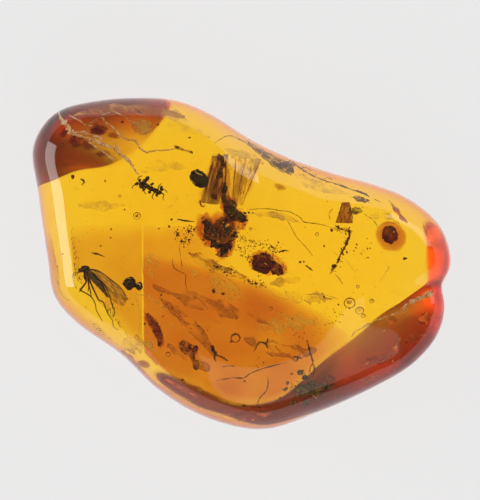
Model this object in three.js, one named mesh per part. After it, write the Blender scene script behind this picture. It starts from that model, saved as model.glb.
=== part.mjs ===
// A polished nugget of amber: one solid, in millimetres, +Z up.
// It lies on a flat polished back at Z = 0, with the middle of its box over the origin.

import * as THREE from 'three';
import { mergeGeometries, mergeVertices } from 'three/addons/utils/BufferGeometryUtils.js';

// Driving dimensions.
const LENGTH = 41.5;
const WIDTH = 32.9;
const THICKNESS = 14.6;

// Height of the girdle, where the nugget is widest.
const GIRDLE_HEIGHT = 5.4;

// The top and the underside are each a square grid of this many cells a side, laid out so that
// its concentric squares become rings round the nugget, with the outermost ring on the girdle.
const CELLS = 44;
const RINGS = CELLS / 2;

// The girdle seen from above, counter-clockwise from the right-hand end. The two lobes on the
// right meet in a notch, and the top edge and the lower left edge each have a hollow.
const GIRDLE = [
  [20.75, 0.5],
  [19.7, 3.7],
  [16.5, 6.5],
  [12.6, 8.05],
  [9.4, 8.9],
  [5.0, 10.4],
  [1.2, 12.2],
  [-3.5, 15.1],
  [-6.8, 16.3],
  [-10.3, 16.5],
  [-14.4, 16.2],
  [-18.6, 15.0],
  [-20.8, 11.65],
  [-20.3, 7.2],
  [-19.3, 0.2],
  [-18.7, -3.2],
  [-16.7, -5.7],
  [-12.0, -9.1],
  [-8.3, -12.6],
  [-3.7, -15.3],
  [2.0, -16.5],
  [7.7, -14.7],
  [13.6, -12.0],
  [16.9, -10.0],
  [19.4, -7.1],
  [20.15, -4.2],
  [19.8, -2.1],
  [20.5, -0.9],
];

// The flat polished back seen from above, counter-clockwise from the right-hand end. The
// underside climbs from it to the girdle: steeply on the left, in a broad slope at the top left
// corner and the lower right.
const BACK = [
  [15.8, 1.2],
  [14.4, 2.7],
  [12.0, 4.3],
  [8.4, 6.3],
  [2.5, 8.9],
  [-2.0, 11.4],
  [-4.2, 12.5],
  [-6.6, 12.3],
  [-8.5, 10.6],
  [-10.0, 9.2],
  [-12.2, 8.5],
  [-14.6, 8.7],
  [-16.4, 8.6],
  [-17.6, 6.4],
  [-17.9, 3.0],
  [-17.2, -1.0],
  [-15.3, -3.9],
  [-11.5, -5.8],
  [-8.2, -7.0],
  [-5.6, -8.0],
  [-2.6, -9.8],
  [0.0, -11.0],
  [2.0, -11.2],
  [4.6, -10.0],
  [7.4, -7.9],
  [10.5, -5.5],
  [13.4, -3.6],
  [15.4, -1.2],
];

// Roundness of the underside where it meets the girdle; 1 is a straight slope.
const UNDERSIDE_ROUNDNESS = 1.25;

// Share of the underside's rings that lie on the slope, outside the back: a whole number of
// rings, so that the edge of the back is one clean ring.
const SLOPE_SHARE = 8 / RINGS;

// Swells round the girdle: [heading in degrees, sharpness, gain]. The first set rounds the
// shoulder between the girdle and the top: a larger value makes it squarer.
const SHOULDER_BASE = 2.25;
const SHOULDER_SWELLS = [
  [185, 3, 0.75],
  [250, 3, 0.35],
  [42, 4, -0.15],
  [142, 6, -0.2],
  [325, 4, -0.2],
];
const GIRDLE_SWELLS = [
  [142, 5, 1.2],
  [318, 4, 1.3],
  [5, 6, 0.4],
  [235, 4, -0.7],
];

// Hollows and swellings of the top: [x, y, radius, rise].
const TOP_RELIEF = [
  [5.5, 11.0, 5.0, -1.4],
  [-11.5, -10.5, 4.5, -1.2],
  [-6.0, 6.0, 8.0, 0.7],
  [11.0, 1.5, 6.5, 0.5],
  [4.0, -5.0, 6.0, -0.5],
  [-12.5, 0.0, 5.5, -0.35],
  [15.0, -8.0, 5.0, -0.7],
];

// The seam between the two lobes, a shallow groove that runs in from the notch.
const SEAM_MOUTH = new THREE.Vector2(20.4, -2.0);
const SEAM_END = new THREE.Vector2(10.5, -5.6);
const SEAM_WIDTH = 1.2;
const SEAM_DEPTH = 1.0;

// The groove reaches its depth at this share of the way up from the girdle to the top.
const SEAM_START = 0.6;

const AMBER_COLOR = 0xd98a12;

const OUTLINE_STEPS = 900;

// Points along a closed outline, each as its heading and its distance from the middle.
function sampleOutline(outline) {
  const corners = outline.map(([x, y]) => new THREE.Vector3(x, y, 0));
  return new THREE.CatmullRomCurve3(corners, true, 'centripetal')
    .getSpacedPoints(OUTLINE_STEPS)
    .slice(0, OUTLINE_STEPS)
    .map((point) => ({ heading: Math.atan2(point.y, point.x), reach: Math.hypot(point.x, point.y) }))
    .sort((a, b) => a.heading - b.heading);
}

// Distance from the middle to a sampled outline in the direction of a heading, in radians.
function outlineReach(samples, heading) {
  const after = samples.findIndex((sample) => sample.heading >= heading);
  const last = samples.length - 1;
  const high = samples[after < 0 ? 0 : after];
  const low = samples[after <= 0 ? last : after - 1];
  const turn = 2 * Math.PI;
  const span = (high.heading - low.heading + turn) % turn;
  const share = ((heading - low.heading + turn) % turn) / span;
  return THREE.MathUtils.lerp(low.reach, high.reach, share);
}

const girdleOutline = sampleOutline(GIRDLE);
const backOutline = sampleOutline(BACK);

// A base value with smooth swells at set headings.
function swell(base, swells, heading) {
  return swells.reduce((sum, [degrees, sharpness, gain]) => {
    const away = Math.cos(heading - THREE.MathUtils.degToRad(degrees)) - 1;
    return sum + gain * Math.exp(sharpness * away);
  }, base);
}

// Rise of the hollows and swellings of the top at a place.
function relief(x, y) {
  return TOP_RELIEF.reduce((sum, [cx, cy, radius, rise]) => {
    const away = ((x - cx) ** 2 + (y - cy) ** 2) / radius ** 2;
    return sum + rise * Math.exp(-away);
  }, 0);
}

// Depth of the seam's groove at a place: full at the notch, fading out at its inner end.
function seamDepth(x, y) {
  const along = new THREE.Vector2().subVectors(SEAM_END, SEAM_MOUTH);
  const offset = new THREE.Vector2(x, y).sub(SEAM_MOUTH);
  const share = offset.dot(along) / along.lengthSq();
  const nearest = along.clone().multiplyScalar(THREE.MathUtils.clamp(share, 0, 1));
  const away = offset.sub(nearest).length() / SEAM_WIDTH;
  const fade = 1 - THREE.MathUtils.smoothstep(share, 0.2, 1);
  return SEAM_DEPTH * fade * Math.exp(-away * away);
}

// The top follows a superellipse from the girdle, where inward is 0, to the middle, where it is 1.
function shapeTop(heading, inward) {
  const latitude = (inward * Math.PI) / 2;
  const exponent = swell(SHOULDER_BASE, SHOULDER_SWELLS, heading);
  const reach = outlineReach(girdleOutline, heading) * Math.cos(latitude) ** (2 / exponent);
  const rise = Math.sin(latitude) ** (2 / exponent);
  const x = reach * Math.cos(heading);
  const y = reach * Math.sin(heading);
  const girdleHeight = swell(GIRDLE_HEIGHT, GIRDLE_SWELLS, heading);
  const crown = THICKNESS + relief(x, y);
  const groove = seamDepth(x, y) * THREE.MathUtils.smoothstep(rise, 0, SEAM_START);
  return new THREE.Vector3(x, y, THREE.MathUtils.lerp(girdleHeight, crown, rise) - groove);
}

// The underside slopes down from the girdle to the edge of the flat back, then lies flat.
function shapeUnderside(heading, inward) {
  const girdle = outlineReach(girdleOutline, heading);
  const back = outlineReach(backOutline, heading);
  const down = Math.min(inward / SLOPE_SHARE, 1);
  const reach = down < 1
    ? THREE.MathUtils.lerp(girdle, back, down ** UNDERSIDE_ROUNDNESS)
    : (back * (1 - inward)) / (1 - SLOPE_SHARE);
  const girdleHeight = swell(GIRDLE_HEIGHT, GIRDLE_SWELLS, heading);
  return new THREE.Vector3(
    reach * Math.cos(heading),
    reach * Math.sin(heading),
    girdleHeight * (1 - down),
  );
}

// Heading of the ray on which a point of the square grid lies once its squares are made round.
function ringHeading(u, v) {
  if (Math.abs(u) >= Math.abs(v)) {
    const slant = u === 0 ? 0 : v / u;
    return (slant * Math.PI) / 4 + (u < 0 ? Math.PI : 0);
  }
  return Math.PI / 2 - ((u / v) * Math.PI) / 4 + (v < 0 ? Math.PI : 0);
}

// One side of the nugget: a square sheet whose points are moved to the shape's surface.
function makeSide(shape, turn) {
  const sheet = new THREE.PlaneGeometry(2, 2, CELLS, CELLS).rotateX(turn);
  sheet.deleteAttribute('normal');
  sheet.deleteAttribute('uv');
  const positions = sheet.attributes.position;
  for (let i = 0; i < positions.count; i += 1) {
    const u = Math.round((positions.getX(i) * CELLS) / 2) / RINGS;
    const v = Math.round((positions.getY(i) * CELLS) / 2) / RINGS;
    const inward = 1 - Math.max(Math.abs(u), Math.abs(v));
    const heading = THREE.MathUtils.euclideanModulo(ringHeading(u, v) + Math.PI, 2 * Math.PI) - Math.PI;
    positions.setXYZ(i, ...shape(heading, inward));
  }
  return sheet;
}

// Scales and moves the geometry so that it fills the driving box and stands on Z = 0.
function fitToBox(geometry) {
  geometry.computeBoundingBox();
  const { min, max } = geometry.boundingBox;
  geometry.translate(-(min.x + max.x) / 2, -(min.y + max.y) / 2, -min.z);
  geometry.scale(LENGTH / (max.x - min.x), WIDTH / (max.y - min.y), THICKNESS / (max.z - min.z));
}

function makeNugget() {
  const sides = [makeSide(shapeTop, 0), makeSide(shapeUnderside, Math.PI)];
  const nugget = mergeVertices(mergeGeometries(sides));
  fitToBox(nugget);
  nugget.computeVertexNormals();
  return nugget;
}

const amber = new THREE.Mesh(
  makeNugget(),
  new THREE.MeshStandardMaterial({ color: AMBER_COLOR, roughness: 0.08, metalness: 0 }),
);
amber.name = 'amber';

const insectInAmber = new THREE.Group();
insectInAmber.add(amber);

export default insectInAmber;
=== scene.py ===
"""Looks of a polished amber nugget with a gnat and plant debris sealed in it.

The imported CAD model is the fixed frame: the nugget's surface is a smooth copy of its solid, and
everything sealed in the resin is placed under that surface, where it is seen from above.
"""

import logging
import math
import random
from dataclasses import dataclass, field
from enum import Enum
from typing import Callable, Iterable, Sequence

import bmesh
import bpy
from mathutils import Matrix, Vector, noise
from mathutils.bvhtree import BVHTree


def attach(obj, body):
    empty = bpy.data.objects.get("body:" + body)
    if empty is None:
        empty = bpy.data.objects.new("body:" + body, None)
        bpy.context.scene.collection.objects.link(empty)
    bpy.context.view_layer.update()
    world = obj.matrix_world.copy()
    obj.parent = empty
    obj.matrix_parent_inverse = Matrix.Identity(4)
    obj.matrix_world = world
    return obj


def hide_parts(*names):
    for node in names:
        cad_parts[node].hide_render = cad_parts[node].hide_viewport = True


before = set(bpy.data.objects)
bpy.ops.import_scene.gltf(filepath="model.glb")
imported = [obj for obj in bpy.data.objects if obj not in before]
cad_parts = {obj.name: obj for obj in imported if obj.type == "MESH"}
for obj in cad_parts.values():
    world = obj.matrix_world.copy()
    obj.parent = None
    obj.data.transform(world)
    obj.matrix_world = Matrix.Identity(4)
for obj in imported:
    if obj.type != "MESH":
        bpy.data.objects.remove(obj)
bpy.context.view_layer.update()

LOG = logging.getLogger("insect_in_amber")
MM = 0.001
AMBER_NODE = "amber"
BODY = "root"
AMBER_IOR = 1.54
RENDER_LEVELS = 2

# Where a thing is seen from above, in millimetres from the middle of the nugget.
Seen = tuple[float, float]


class Slot(Enum):
    """The record's material slots."""

    AMBER = "amber"
    INSECT = "insect"
    DEBRIS = "debris"
    FLAW = "resin_flaw"


# ---------------------------------------------------------------------------------------------
# Shader helpers
# ---------------------------------------------------------------------------------------------


def srgb(red: float, green: float, blue: float) -> tuple[float, float, float, float]:
    """Turns a display colour of 0 to 255 into a linear colour.

    Args:
        red: Red as seen on a display.
        green: Green as seen on a display.
        blue: Blue as seen on a display.

    Returns:
        The linear colour with an alpha of 1.
    """

    def linear(level: float) -> float:
        """Returns the linear level of one display channel."""
        share = level / 255
        return share / 12.92 if share <= 0.04045 else ((share + 0.055) / 1.055) ** 2.4

    return (linear(red), linear(green), linear(blue), 1.0)


@dataclass
class NodeKit:
    """Adds and joins the nodes of one node tree."""

    tree: bpy.types.NodeTree

    def add(self, kind: str, **settings: object) -> bpy.types.Node:
        """Adds a node.

        Args:
            kind: The node's type name.
            settings: Properties to set on the node.

        Returns:
            The new node.
        """
        node = self.tree.nodes.new(kind)
        for name, value in settings.items():
            setattr(node, name, value)
        return node

    def join(self, source: bpy.types.NodeSocket, target: bpy.types.NodeSocket) -> None:
        """Links an output to an input."""
        self.tree.links.new(source, target)

    def noise(self, place: bpy.types.NodeSocket, scale: float, detail: float = 3.0) -> bpy.types.NodeSocket:
        """Adds a noise texture read at a place and returns its value output."""
        node = self.add("ShaderNodeTexNoise")
        node.inputs["Scale"].default_value = scale
        node.inputs["Detail"].default_value = detail
        self.join(place, node.inputs["Vector"])
        return node.outputs["Fac"]

    def spread(self, value: bpy.types.NodeSocket, low: float, high: float,
               to_low: float = 0.0, to_high: float = 1.0) -> bpy.types.NodeSocket:
        """Maps a value's range low..high smoothly onto to_low..to_high, clamped."""
        node = self.add("ShaderNodeMapRange", interpolation_type="SMOOTHSTEP")
        node.inputs["From Min"].default_value = low
        node.inputs["From Max"].default_value = high
        node.inputs["To Min"].default_value = to_low
        node.inputs["To Max"].default_value = to_high
        self.join(value, node.inputs["Value"])
        return node.outputs["Result"]

    def mix(self, share: bpy.types.NodeSocket, first: Sequence[float] | bpy.types.NodeSocket,
            second: Sequence[float] | bpy.types.NodeSocket, blend: str = "MIX") -> bpy.types.NodeSocket:
        """Mixes two colours by a share and returns the colour output."""
        node = self.add("ShaderNodeMix", data_type="RGBA", blend_type=blend)
        self.join(share, node.inputs["Factor"])
        for socket, value in ((node.inputs[6], first), (node.inputs[7], second)):
            if isinstance(value, bpy.types.NodeSocket):
                self.join(value, socket)
            else:
                socket.default_value = value
        return node.outputs[2]

    def math(self, operation: str, first: bpy.types.NodeSocket | float,
             second: bpy.types.NodeSocket | float = 0.0) -> bpy.types.NodeSocket:
        """Adds a math node on two values or sockets and returns its output."""
        node = self.add("ShaderNodeMath", operation=operation)
        for socket, value in zip(node.inputs, (first, second)):
            if isinstance(value, bpy.types.NodeSocket):
                self.join(value, socket)
            else:
                socket.default_value = value
        return node.outputs[0]


def new_material(name: str) -> tuple[bpy.types.Material, NodeKit, bpy.types.Node]:
    """Starts a node material.

    Args:
        name: The material's name.

    Returns:
        The material, a kit on its node tree, and its Principled shader.
    """
    material = bpy.data.materials.new(name)
    material.use_nodes = True
    kit = NodeKit(material.node_tree)
    return material, kit, material.node_tree.nodes["Principled BSDF"]


def mottle_group() -> bpy.types.NodeTree:
    """Returns the shared effect that mottles or streaks a surface between two colours.

    Returns:
        The node group, made on its first use.
    """
    name = "mottle"
    if name in bpy.data.node_groups:
        return bpy.data.node_groups[name]
    tree = bpy.data.node_groups.new(name, "ShaderNodeTree")
    for socket, kind in (("Place", "NodeSocketVector"), ("Stretch", "NodeSocketVector"),
                         ("Turn", "NodeSocketFloat"), ("Scale", "NodeSocketFloat"),
                         ("Dark", "NodeSocketColor"), ("Light", "NodeSocketColor"),
                         ("Relief", "NodeSocketFloat")):
        tree.interface.new_socket(name=socket, in_out="INPUT", socket_type=kind)
    for socket, kind in (("Colour", "NodeSocketColor"), ("Mask", "NodeSocketFloat"),
                         ("Normal", "NodeSocketVector")):
        tree.interface.new_socket(name=socket, in_out="OUTPUT", socket_type=kind)
    kit = NodeKit(tree)
    given = kit.add("NodeGroupInput")
    result = kit.add("NodeGroupOutput")
    turned = kit.add("ShaderNodeVectorRotate", rotation_type="Z_AXIS")
    kit.join(given.outputs["Place"], turned.inputs["Vector"])
    kit.join(given.outputs["Turn"], turned.inputs["Angle"])
    stretched = kit.add("ShaderNodeVectorMath", operation="MULTIPLY")
    kit.join(turned.outputs["Vector"], stretched.inputs[0])
    kit.join(given.outputs["Stretch"], stretched.inputs[1])
    coarse = kit.add("ShaderNodeTexNoise")
    fine = kit.add("ShaderNodeTexNoise")
    for node, detail in ((coarse, 2.0), (fine, 5.0)):
        kit.join(stretched.outputs["Vector"], node.inputs["Vector"])
        node.inputs["Detail"].default_value = detail
    kit.join(kit.math("MULTIPLY", given.outputs["Scale"], 0.4), coarse.inputs["Scale"])
    kit.join(given.outputs["Scale"], fine.inputs["Scale"])
    level = kit.math("MULTIPLY", kit.math("ADD", coarse.outputs["Fac"], fine.outputs["Fac"]), 0.5)
    mask = kit.spread(level, 0.38, 0.62)
    kit.join(kit.mix(mask, given.outputs["Dark"], given.outputs["Light"]), result.inputs["Colour"])
    kit.join(mask, result.inputs["Mask"])
    bump = kit.add("ShaderNodeBump")
    kit.join(level, bump.inputs["Height"])
    kit.join(given.outputs["Relief"], bump.inputs["Distance"])
    kit.join(bump.outputs["Normal"], result.inputs["Normal"])
    return tree


# ---------------------------------------------------------------------------------------------
# Finishes
# ---------------------------------------------------------------------------------------------


@dataclass(frozen=True)
class AmberFinish:
    """Clear golden resin with a thin reddish skin towards the rims."""

    absorbed: tuple[float, float, float, float] = (0.985, 0.88, 0.02, 1.0)
    density: float = 330.0
    frost: float = 0.28
    frost_top: float = 4.6

    def make(self) -> bpy.types.Material:
        """Builds the material."""
        material, kit, shader = new_material("amber_resin")
        shader.inputs["Transmission Weight"].default_value = 1.0
        shader.inputs["IOR"].default_value = AMBER_IOR
        coordinates = kit.add("ShaderNodeTexCoord")
        axes = kit.add("ShaderNodeSeparateXYZ")
        kit.join(coordinates.outputs["Object"], axes.inputs["Vector"])
        frost = kit.spread(axes.outputs["Z"], 0.7 * self.frost_top * MM, self.frost_top * MM, self.frost,
                           0.0)
        kit.join(frost, shader.inputs["Roughness"])
        shader.inputs["Base Color"].default_value = (1, 1, 1, 1)
        volume = kit.add("ShaderNodeVolumeAbsorption")
        volume.inputs["Color"].default_value = self.absorbed
        volume.inputs["Density"].default_value = self.density
        kit.join(volume.outputs[0], material.node_tree.nodes["Material Output"].inputs["Volume"])
        return material

@dataclass(frozen=True)
class MatterFinish:
    """Organic matter: mottled or streaked between two colours, with a fine relief."""

    name: str
    dark: tuple[float, float, float, float]
    light: tuple[float, float, float, float]
    grain: float = 0.3
    stretch: tuple[float, float, float] = (1.0, 1.0, 1.0)
    turn: float = 0.0
    relief: float = 0.03
    roughness: float = 0.5
    cover: tuple[float, float] = (1.0, 1.0)
    cover_range: tuple[float, float] = (0.35, 0.65)
    sheen: float = 0.0

    def make(self) -> bpy.types.Material:
        """Builds the material; cover is its opacity where it is light and where it is dark."""
        material, kit, shader = new_material(self.name)
        coordinates = kit.add("ShaderNodeTexCoord")
        mottle = kit.add("ShaderNodeGroup", node_tree=mottle_group())
        kit.join(coordinates.outputs["Object"], mottle.inputs["Place"])
        mottle.inputs["Stretch"].default_value = self.stretch
        mottle.inputs["Turn"].default_value = math.radians(self.turn)
        mottle.inputs["Scale"].default_value = 1.0 / (self.grain * MM)
        mottle.inputs["Dark"].default_value = self.dark
        mottle.inputs["Light"].default_value = self.light
        mottle.inputs["Relief"].default_value = self.relief * MM
        kit.join(mottle.outputs["Colour"], shader.inputs["Base Color"])
        kit.join(mottle.outputs["Normal"], shader.inputs["Normal"])
        rough = kit.spread(mottle.outputs["Mask"], 0.2, 0.8, self.roughness * 0.75,
                           min(1.0, self.roughness * 1.25))
        kit.join(rough, shader.inputs["Roughness"])
        shader.inputs["Coat Weight"].default_value = self.sheen
        if self.cover != (1.0, 1.0):
            low, high = self.cover_range
            cover = kit.spread(mottle.outputs["Mask"], low, high, self.cover[1], self.cover[0])
            kit.join(cover, shader.inputs["Alpha"])
        return material


@dataclass(frozen=True)
class TintFinish:
    """Resin of a deeper tint inside the clear resin, with no surface of its own."""

    name: str
    absorbed: tuple[float, float, float, float]
    density: float
    cloud: float = 1.5

    def make(self) -> bpy.types.Material:
        """Builds the material: it only absorbs light, a little unevenly."""
        material, kit, shader = new_material(self.name)
        shader.inputs["Transmission Weight"].default_value = 1.0
        shader.inputs["IOR"].default_value = 1.0
        shader.inputs["Roughness"].default_value = 0.0
        coordinates = kit.add("ShaderNodeTexCoord")
        cloud = kit.noise(coordinates.outputs["Object"], 1.0 / (self.cloud * MM))
        uneven = kit.spread(cloud, 0.35, 0.7)
        tint = kit.mix(uneven, (1, 1, 1, 1), (0.99, 0.975, 0.965, 1))
        kit.join(tint, shader.inputs["Base Color"])
        volume = kit.add("ShaderNodeVolumeAbsorption")
        volume.inputs["Color"].default_value = self.absorbed
        volume.inputs["Density"].default_value = self.density
        kit.join(volume.outputs[0], material.node_tree.nodes["Material Output"].inputs["Volume"])
        return material


@dataclass(frozen=True)
class FloorFinish:
    """A pale lit sheet that the nugget lies on."""

    paper: tuple[float, float, float, float] = (0.2, 0.2, 0.2, 1.0)
    glow: float = 0.75
    glow_through_resin: float = 0.95

    def make(self) -> bpy.types.Material:
        """Builds the material, a little brighter to every ray but the camera's own."""
        material, kit, shader = new_material("lit_sheet")
        path = kit.add("ShaderNodeLightPath")
        glow = kit.spread(path.outputs["Is Camera Ray"], 0.0, 1.0, self.glow_through_resin, self.glow)
        kit.join(glow, shader.inputs["Emission Strength"])
        shader.inputs["Base Color"].default_value = self.paper
        shader.inputs["Roughness"].default_value = 1.0
        shader.inputs["Specular IOR Level"].default_value = 0.0
        shader.inputs["Emission Color"].default_value = (1, 1, 1, 1)
        return material


# ---------------------------------------------------------------------------------------------
# Mesh helpers
# ---------------------------------------------------------------------------------------------


def finish_piece(bm: bmesh.types.BMesh, name: str, material: bpy.types.Material,
                 smooth: bool = True, turn_out: bool = True) -> bpy.types.Object:
    """Turns a bmesh into a named piece that rides on the nugget's body.

    Args:
        bm: The piece's mesh, in metres, in the frame's place. It is freed.
        name: The piece's name.
        material: Its finish.
        smooth: Whether its faces are shaded smooth.
        turn_out: Whether its faces are turned outward first; a hollow shell has its own order.

    Returns:
        The new object.
    """
    mesh = bpy.data.meshes.new(name)
    if turn_out:
        bmesh.ops.recalc_face_normals(bm, faces=bm.faces)
        if bm.calc_volume(signed=True) < 0:
            bmesh.ops.reverse_faces(bm, faces=bm.faces)
    for face in bm.faces:
        face.smooth = smooth
    bm.to_mesh(mesh)
    bm.free()
    mesh.materials.append(material)
    piece = bpy.data.objects.new(name, mesh)
    bpy.context.scene.collection.objects.link(piece)
    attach(piece, BODY)
    return piece


def smooth_path(points: Sequence[Vector], steps: int = 4) -> list[Vector]:
    """Rounds a chain of points with a Catmull-Rom curve.

    Args:
        points: The corners, at least two.
        steps: Points made for each span.

    Returns:
        The finer chain, with the first and the last corner kept.
    """
    ends = [points[0] * 2 - points[1], *points, points[-1] * 2 - points[-2]]
    path = []
    for before, start, stop, after in zip(ends, ends[1:], ends[2:], ends[3:]):
        for step in range(steps):
            t = step / steps
            path.append(0.5 * (start * 2 + (stop - before) * t
                               + (before * 2 - start * 5 + stop * 4 - after) * t * t
                               + (start * 3 - before - stop * 3 + after) * t ** 3))
    return [*path, points[-1].copy()]


@dataclass
class Clay:
    """Collects the shapes of one piece, in metres, in the frame's place."""

    seed: int
    bm: bmesh.types.BMesh = field(default_factory=bmesh.new)
    dice: random.Random = field(init=False)

    def __post_init__(self) -> None:
        """Starts the piece's own random numbers."""
        self.dice = random.Random(self.seed)

    def _take(self, part: bmesh.types.BMesh) -> None:
        """Adds a finished part to the piece and frees it."""
        mesh = bpy.data.meshes.new("part")
        part.to_mesh(mesh)
        part.free()
        self.bm.from_mesh(mesh)
        bpy.data.meshes.remove(mesh)

    def _shift(self, reach: float) -> Vector:
        """Returns a random vector of up to a reach along each axis."""
        return Vector([self.dice.uniform(-reach, reach) for _ in range(3)])

    def blob(self, centre: Vector, radii: tuple[float, float, float], turn: float = 0.0,
             rough: float = 0.15, lumps: float = 1.6, detail: int = 3, tilt: float = 0.0) -> None:
        """Adds an uneven ellipsoid.

        Args:
            centre: Its middle in metres.
            radii: Its half sizes in millimetres.
            turn: Its turn about the upright in degrees.
            rough: How much the lumps raise the surface, as a share of its size.
            lumps: How many lumps there are along half its size.
            detail: Subdivisions of the sphere it starts from.
            tilt: Its tilt about its own long way in degrees.
        """
        part = bmesh.new()
        bmesh.ops.create_icosphere(part, subdivisions=detail, radius=1.0)
        shift = self._shift(50.0)
        for vert in part.verts:
            vert.co *= 1 + rough * 2 * noise.fractal(vert.co * lumps + shift, 1.0, 2.0, 3)
        size = Matrix.Diagonal((*(radius * MM for radius in radii), 1.0))
        place = (Matrix.Translation(centre) @ Matrix.Rotation(math.radians(turn), 4, "Z")
                 @ Matrix.Rotation(math.radians(tilt), 4, "X") @ size)
        bmesh.ops.transform(part, matrix=place, verts=part.verts)
        self._take(part)

    def crumb(self, centre: Vector, size: float) -> None:
        """Adds a small angular grain of a size in millimetres."""
        part = bmesh.new()
        bmesh.ops.create_icosphere(part, subdivisions=1, radius=size * MM)
        squash = Vector([self.dice.uniform(0.6, 1.25) for _ in range(3)])
        for vert in part.verts:
            vert.co = vert.co * squash + self._shift(size * 0.3 * MM)
        bmesh.ops.rotate(part, verts=part.verts, cent=(0, 0, 0),
                         matrix=Matrix.Rotation(self.dice.uniform(0, math.tau), 3, "Z"))
        bmesh.ops.translate(part, verts=part.verts, vec=centre)
        self._take(part)

    def scatter(self, centres: Iterable[Vector], count: int, spread: float,
                size: tuple[float, float]) -> None:
        """Adds grains round each of some centres, with a spread and sizes in millimetres."""
        for centre in centres:
            for _ in range(count):
                away = Vector([self.dice.gauss(0, spread * MM) for _ in range(3)])
                away.z *= 0.5
                self.crumb(centre + away, self.dice.uniform(*size))

    def limb(self, points: Sequence[Vector], radii: Sequence[float], sides: int = 8,
             rough: float = 0.0, flat: float = 1.0) -> None:
        """Adds a round limb along a chain of points.

        Args:
            points: The middle line in metres.
            radii: Half thicknesses in millimetres, spread evenly along the line.
            sides: Sides of the limb.
            rough: How uneven its thickness is, as a share.
            flat: Its thickness upright as a share of that across.
        """
        part = bmesh.new()
        ring = bmesh.ops.create_circle(part, cap_ends=True, segments=sides, radius=1.0)
        cap = ring["verts"][0].link_faces[0]
        last = len(points) - 1
        across = Vector((0, 0, 1))
        for index, point in enumerate(points):
            if index:
                grown = bmesh.ops.extrude_face_region(part, geom=[cap, *cap.edges])["geom"]
                cap = next(item for item in grown if isinstance(item, bmesh.types.BMFace))
            ahead = (points[min(index + 1, last)] - points[max(index - 1, 0)]).normalized()
            side = ahead.cross(across)
            if side.length < 0.05:
                side = ahead.cross(Vector((1, 0, 0)))
            side.normalize()
            upright = side.cross(ahead)
            place = index / last * (len(radii) - 1)
            low = min(int(place), len(radii) - 2) if len(radii) > 1 else 0
            thick = radii[low] + (radii[min(low + 1, len(radii) - 1)] - radii[low]) * (place - low)
            thick *= MM * (1 + self.dice.uniform(-rough, rough))
            for corner, vert in enumerate(cap.verts):
                angle = corner / sides * math.tau
                vert.co = point + thick * (side * math.cos(angle) + upright * (math.sin(angle) * flat))
        self._take(part)

    def ribbon(self, first: Sequence[Vector], second: Sequence[Vector], rows: int = 3,
               thick: float = 0.03, rough: float = 0.05) -> None:
        """Adds a thin crumpled sheet between two chains of as many points each.

        Args:
            first: One long edge in metres.
            second: The other long edge in metres.
            rows: Rows of faces between them.
            thick: Thickness in millimetres.
            rough: How far it is crumpled, in millimetres.
        """
        part = bmesh.new()
        chain = [part.verts.new(first[0])]
        for _ in first[1:]:
            chain += bmesh.ops.extrude_vert_indiv(part, verts=[chain[-1]])["verts"]
        lines = [list(chain)]
        edges = list(part.edges)
        for _ in range(rows):
            grown = bmesh.ops.extrude_edge_only(part, edges=edges)["geom"]
            edges = [item for item in grown if isinstance(item, bmesh.types.BMEdge)
                     and all(end in grown for end in item.verts)]
            known = {vert for edge in edges for vert in edge.verts}
            ring = [next(edge.other_vert(vert) for edge in vert.link_edges
                         if edge.other_vert(vert) in known) for vert in lines[-1]]
            lines.append(ring)
        shift = self._shift(50.0)
        for row, line in enumerate(lines):
            for start, stop, vert in zip(first, second, line):
                place = start.lerp(stop, row / rows)
                vert.co = place + noise.noise_vector(place / (0.5 * MM) + shift) * rough * MM
        part.normal_update()
        bmesh.ops.solidify(part, geom=part.faces[:], thickness=thick * MM)
        self._take(part)

    def finish(self, name: str, material: bpy.types.Material, slot: Slot,
               smooth: bool = True) -> bpy.types.Object:
        """Makes the collected shapes one piece."""
        LOG.info("%s: %d faces", name, len(self.bm.faces))
        return finish_piece(self.bm, name, material, smooth)


# ---------------------------------------------------------------------------------------------
# The nugget
# ---------------------------------------------------------------------------------------------


@dataclass
class Nugget:
    """The clear amber itself: a smooth copy of the CAD solid."""

    merge_distance: float = 0.001 * MM
    crease_angle: float = math.radians(25)
    crease: float = 0.7
    piece: bpy.types.Object | None = None

    def build(self) -> bpy.types.Object:
        """Builds the nugget and hides its CAD solid."""
        bm = bmesh.new()
        bm.from_mesh(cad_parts[AMBER_NODE].data)
        bmesh.ops.remove_doubles(bm, verts=bm.verts, dist=self.merge_distance)
        bmesh.ops.join_triangles(
            bm, faces=bm.faces, angle_face_threshold=math.pi, angle_shape_threshold=math.pi,
            topology_influence=1.0,
        )
        sharpness = bm.edges.layers.float.new("crease_edge")
        for edge in bm.edges:
            if edge.calc_face_angle(0.0) > self.crease_angle and self._on_back(edge):
                edge[sharpness] = self.crease
        self.piece = finish_piece(bm, "amber_nugget", AmberFinish().make())
        subdivision = self.piece.modifiers.new("Smooth surface", "SUBSURF")
        subdivision.levels = RENDER_LEVELS
        subdivision.render_levels = RENDER_LEVELS
        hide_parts(AMBER_NODE)
        return self.piece

    def _on_back(self, edge: bmesh.types.BMEdge) -> bool:
        """Returns whether an edge lies on the flat back."""
        return all(vert.co.z < 0.01 * MM for vert in edge.verts)


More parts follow.
